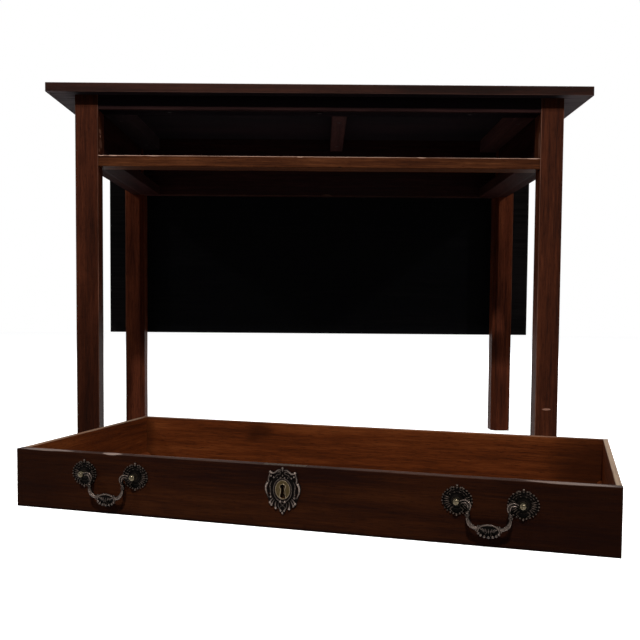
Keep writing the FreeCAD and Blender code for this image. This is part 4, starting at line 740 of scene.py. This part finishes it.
def make_escutcheon(finish):
    """A pierced cartouche of scrolls and beads."""
    half = [
        (1.8, 29.4), (4.6, 30.0), (8.4, 28.4), (11.8, 25.2), (15.2, 25.4), (18.6, 26.6),
        (20.0, 24.0), (20.2, 20.0), (21.6, 15.6), (21.6, 12.2), (23.8, 10.6), (25.6, 6.0),
        (25.8, 1.0), (24.8, -3.8), (22.8, -8.6), (21.0, -12.0), (20.0, -16.0), (19.4, -19.2),
        (16.8, -22.4), (13.4, -21.0), (11.6, -25.6), (9.0, -26.6), (7.4, -22.6), (4.6, -27.6),
        (2.6, -29.8),
    ]
    outline = [(0, 32.2)] + half + [(0, -32.4)] + mirrored(half)[::-1]
    middle_hole = oval(10.4, 13.2, 0, 1, 12)
    side_holes = [
        oval(across, up, x * side, y, 8)
        for x, y, across, up in (
            (13.2, 21.2, 2.3, 1.2), (17.0, 15.4, 1.3, 2.2), (21.0, 4.4, 1.1, 3.6),
            (20.2, -5.0, 1.1, 2.8), (15.2, -15.6, 1.0, 2.0), (8.6, -19.6, 1.0, 2.2),
            (3.4, -25.0, 0.9, 1.5),
        )
        for side in (-1, 1)
    ]
    scrolls = [
        [(1.6, 27.4, 0.7), (4.4, 28.9, 1.0), (7.8, 27.4, 1.2), (11.2, 24.2, 1.3), (14.4, 23.0, 1.3),
         (17.6, 24.8, 1.7)],
        [(7.2, 24.6, 0.8), (5.6, 26.4, 0.9), (3.0, 25.6, 0.9), (2.8, 23.0, 0.8), (5.6, 22.2, 0.7),
         (9.4, 21.0, 0.9), (10.2, 18.2, 0.8)],
        [(18.6, 23.0, 1.1), (19.4, 19.4, 1.1), (20.8, 15.8, 1.2), (20.2, 12.4, 1.2)],
        [(19.8, 11.0, 1.0), (22.2, 9.6, 1.7), (24.1, 5.8, 1.7), (24.5, 1.4, 1.6), (23.7, -2.8, 1.4),
         (22.0, -6.8, 1.1), (20.6, -10.4, 0.8)],
        [(15.4, 12.6, 0.7), (18.4, 8.2, 0.9), (18.2, 3.6, 0.9), (17.2, -0.8, 0.9),
         (17.8, -5.0, 0.9), (16.6, -9.0, 0.8)],
        [(13.4, -11.4, 0.8), (16.6, -13.8, 1.1), (18.2, -17.2, 1.5)],
        [(12.0, -13.4, 0.8), (14.4, -17.0, 1.0), (15.8, -20.6, 1.4)],
        [(9.4, -15.6, 0.8), (11.0, -19.6, 1.1), (9.8, -24.4, 1.6)],
        [(5.6, -17.4, 0.7), (6.8, -21.2, 0.9), (4.6, -24.8, 1.0), (2.6, -27.8, 1.4)],
        [(3.4, -17.8, 0.7), (0.0, -20.4, 0.8), (-3.4, -23.4, 0.7)],
    ]
    side_beads = [
        (17.9, 25.0, 2.1), (2.9, 17.6, 1.4), (12.8, 17.6, 1.5), (7.6, 17.8, 1.1),
        (20.2, 12.4, 1.5), (22.4, 9.2, 2.0), (18.2, 4.2, 1.2), (17.4, -1.0, 1.1),
        (17.8, -5.2, 1.2), (17.2, -9.6, 1.8), (18.3, -17.6, 2.0), (15.8, -21.0, 1.7),
        (9.7, -24.9, 2.1), (2.5, -28.2, 1.7), (3.3, -15.6, 2.0),
    ]
    middle_beads = [(30.8, 2.1), (27.6, 1.3), (20.6, 1.4), (-20.4, 1.2), (-31.2, 1.9)]
    plate = Casting()
    plate.plate([outline, middle_hole] + side_holes, 1.5, 0.45)
    for scroll in scrolls:
        for side in (1, -1):
            plate.bar(tapered(scroll, 1.8, side))
    for x, y, size in side_beads:
        for side in (-1, 1):
            plate.bead(x * side, y, 1.9, size, (1, 1, 0.8))
    for y, size in middle_beads:
        plate.bead(0, y, 1.8, size, (0.9, 1.15, 0.8))
    plate.bar(wire(oval(13.3, 16.4, 0, 0.4, 24), 1.9, 0.8), closed=True)
    plate.bar(wire(oval(11.5, 14.0, 0, 1, 24), 1.7, 0.7), closed=True)
    places = [on_drawer(*ESCUTCHEON_MIDDLE)]
    plate.hand_over("escutcheon_scrolls", places, "drawer", finish, "escutcheon")


def make_keyhole_plate(finish):
    """A smooth oval plate with a raised rim, and a raised line round its keyhole."""
    half = [(4.0, -11.7), (3.2, -5.0), (2.5, 1.2), (3.9, 3.2), (3.8, 6.2)]
    round_hole = half + [(0, 8.6)] + mirrored(half)[::-1]
    centre = Casting()
    centre.plate([oval(11.0, 13.6), round_hole + [(0, -11.8)]], 1.2, 0.3, 0.5)
    centre.bar(wire(oval(10.5, 13.0, count=20), 1.5, 0.7), closed=True)
    centre.bar(wire([(x * 1.15, y) for x, y in round_hole], 1.6, 0.7))
    places = [on_drawer(*KEYHOLE_MIDDLE)]
    centre.hand_over("keyhole_surround", places, "drawer", finish, "keyhole_plate")


def dress_metal():
    """The brass that shows is modelled here. The rest keeps the solids' shapes."""
    make_rosettes(metal(
        "rosette_brass", shade(6, 5, 4), shade(64, 54, 48), 0.38, DRAWER,
        proud=0.0013, depth=0.0022))
    make_posts(metal(
        "post_brass", shade(22, 18, 12), shade(80, 72, 57), 0.18, DRAWER, proud=0.006, depth=0.006))
    make_bails(metal(
        "bail_brass", shade(6, 5, 4), shade(76, 66, 60), 0.30, DRAWER, proud=0.0126, depth=0.0016))
    cast = metal(
        "cast_brass", shade(8, 6, 5), shade(112, 98, 90), 0.38, DRAWER, proud=0.0020, depth=0.0018)
    make_escutcheon(cast)
    dress("escutcheon_pins", cast)
    make_keyhole_plate(metal(
        "keyhole_brass", shade(49, 39, 17), shade(98, 86, 70), 0.36, DRAWER,
        proud=0.0015, depth=0.0008))
    iron = metal("iron", shade(12, 10, 10), shade(34, 30, 28), 0.6)
    for name in nodes:
        if name.startswith("hinge_") or name.endswith("screws") or name == "fly_bracket_pins":
            dress(name, iron)
    lock = metal("lock_brass", shade(34, 26, 20), shade(92, 74, 56), 0.45)
    for name in ("lock_case", "lock_bolt", "pull_nuts"):
        dress(name, lock)


def set_floor():
    """A floor that keeps the object's shadow: white to the camera and dull to all else, so that
    it throws little light back."""
    grid = bmesh.new()
    bmesh.ops.create_grid(grid, x_segments=1, y_segments=1, size=8)
    shape = bpy.data.meshes.new("floor")
    grid.to_mesh(shape)
    grid.free()
    floor = bpy.data.objects.new("floor", shape)
    floor.location.z = -0.0002
    bpy.context.scene.collection.objects.link(floor)
    paint = Finish("pale_floor", roughness=0.9, specular=0.0)
    seen = paint.seen_directly()
    paint.feed("Base Color", paint.blend(seen, (0.07, 0.065, 0.06, 1), WHITE))
    paint.feed("Emission Color", WHITE)
    paint.feed("Emission Strength", seen * 0.87)
    shape.materials.append(paint.material)


def set_world():
    """A surround that is white to the camera and dim to the rest of the scene."""
    world = bpy.data.worlds.new("studio")
    world.use_nodes = True
    bpy.context.scene.world = world
    air = Nodes(world.node_tree)
    colour = air.blend(air.seen_directly(), (0.075, 0.077, 0.08, 1), WHITE)
    air.join(colour, air.tree.nodes["Background"].inputs["Color"])


def set_lamps():
    for name, place, aim, size, power in (
        ("key_lamp", (-0.2, -2.9, 3.5), (0, 0.3, 0.5), 0.2, 162),
        ("left_lamp", (-2.6, -1.2, 2.2), (-0.3, 0.2, 0.4), 0.2, 30),
        ("right_lamp", (2.6, -1.2, 2.2), (0.3, 0.2, 0.4), 0.2, 40),
        ("back_lamp", (1.0, 3.4, 2.6), (0, 0.5, 0.4), 1.2, 70),
    ):
        light = bpy.data.lights.new(name, "AREA")
        light.shape = "DISK"
        light.size = size
        light.energy = power
        holder = bpy.data.objects.new(name, light)
        holder.location = place
        toward = Vector(aim) - Vector(place)
        holder.rotation_euler = toward.to_track_quat("-Z", "Y").to_euler()
        bpy.context.scene.collection.objects.link(holder)


def set_camera():
    """Looks from low down in front, a little downwards and rolled, as the photograph does."""
    lens = bpy.data.cameras.new("camera")
    lens.lens = 46.69
    lens.sensor_width = 36
    lens.shift_y = 0.0469
    holder = bpy.data.objects.new("camera", lens)
    distance, height = 1.6363, 0.3067
    holder.location = (0.0046, TABLE_FRONT - distance, height)
    level = Euler((math.radians(90 - 2.93), 0, 0)).to_quaternion()
    roll = Quaternion((0, 0, 1), math.radians(0.45))
    holder.rotation_mode = "QUATERNION"
    holder.rotation_quaternion = level @ roll
    bpy.context.scene.collection.objects.link(holder)
    bpy.context.scene.camera = holder


dress_top_and_leaf()
dress_legs()
dress_rails()
dress_inside()
dress_drawer()
dress_metal()
set_floor()
set_world()
set_lamps()
set_camera()
bpy.context.scene.view_settings.view_transform = "Standard"
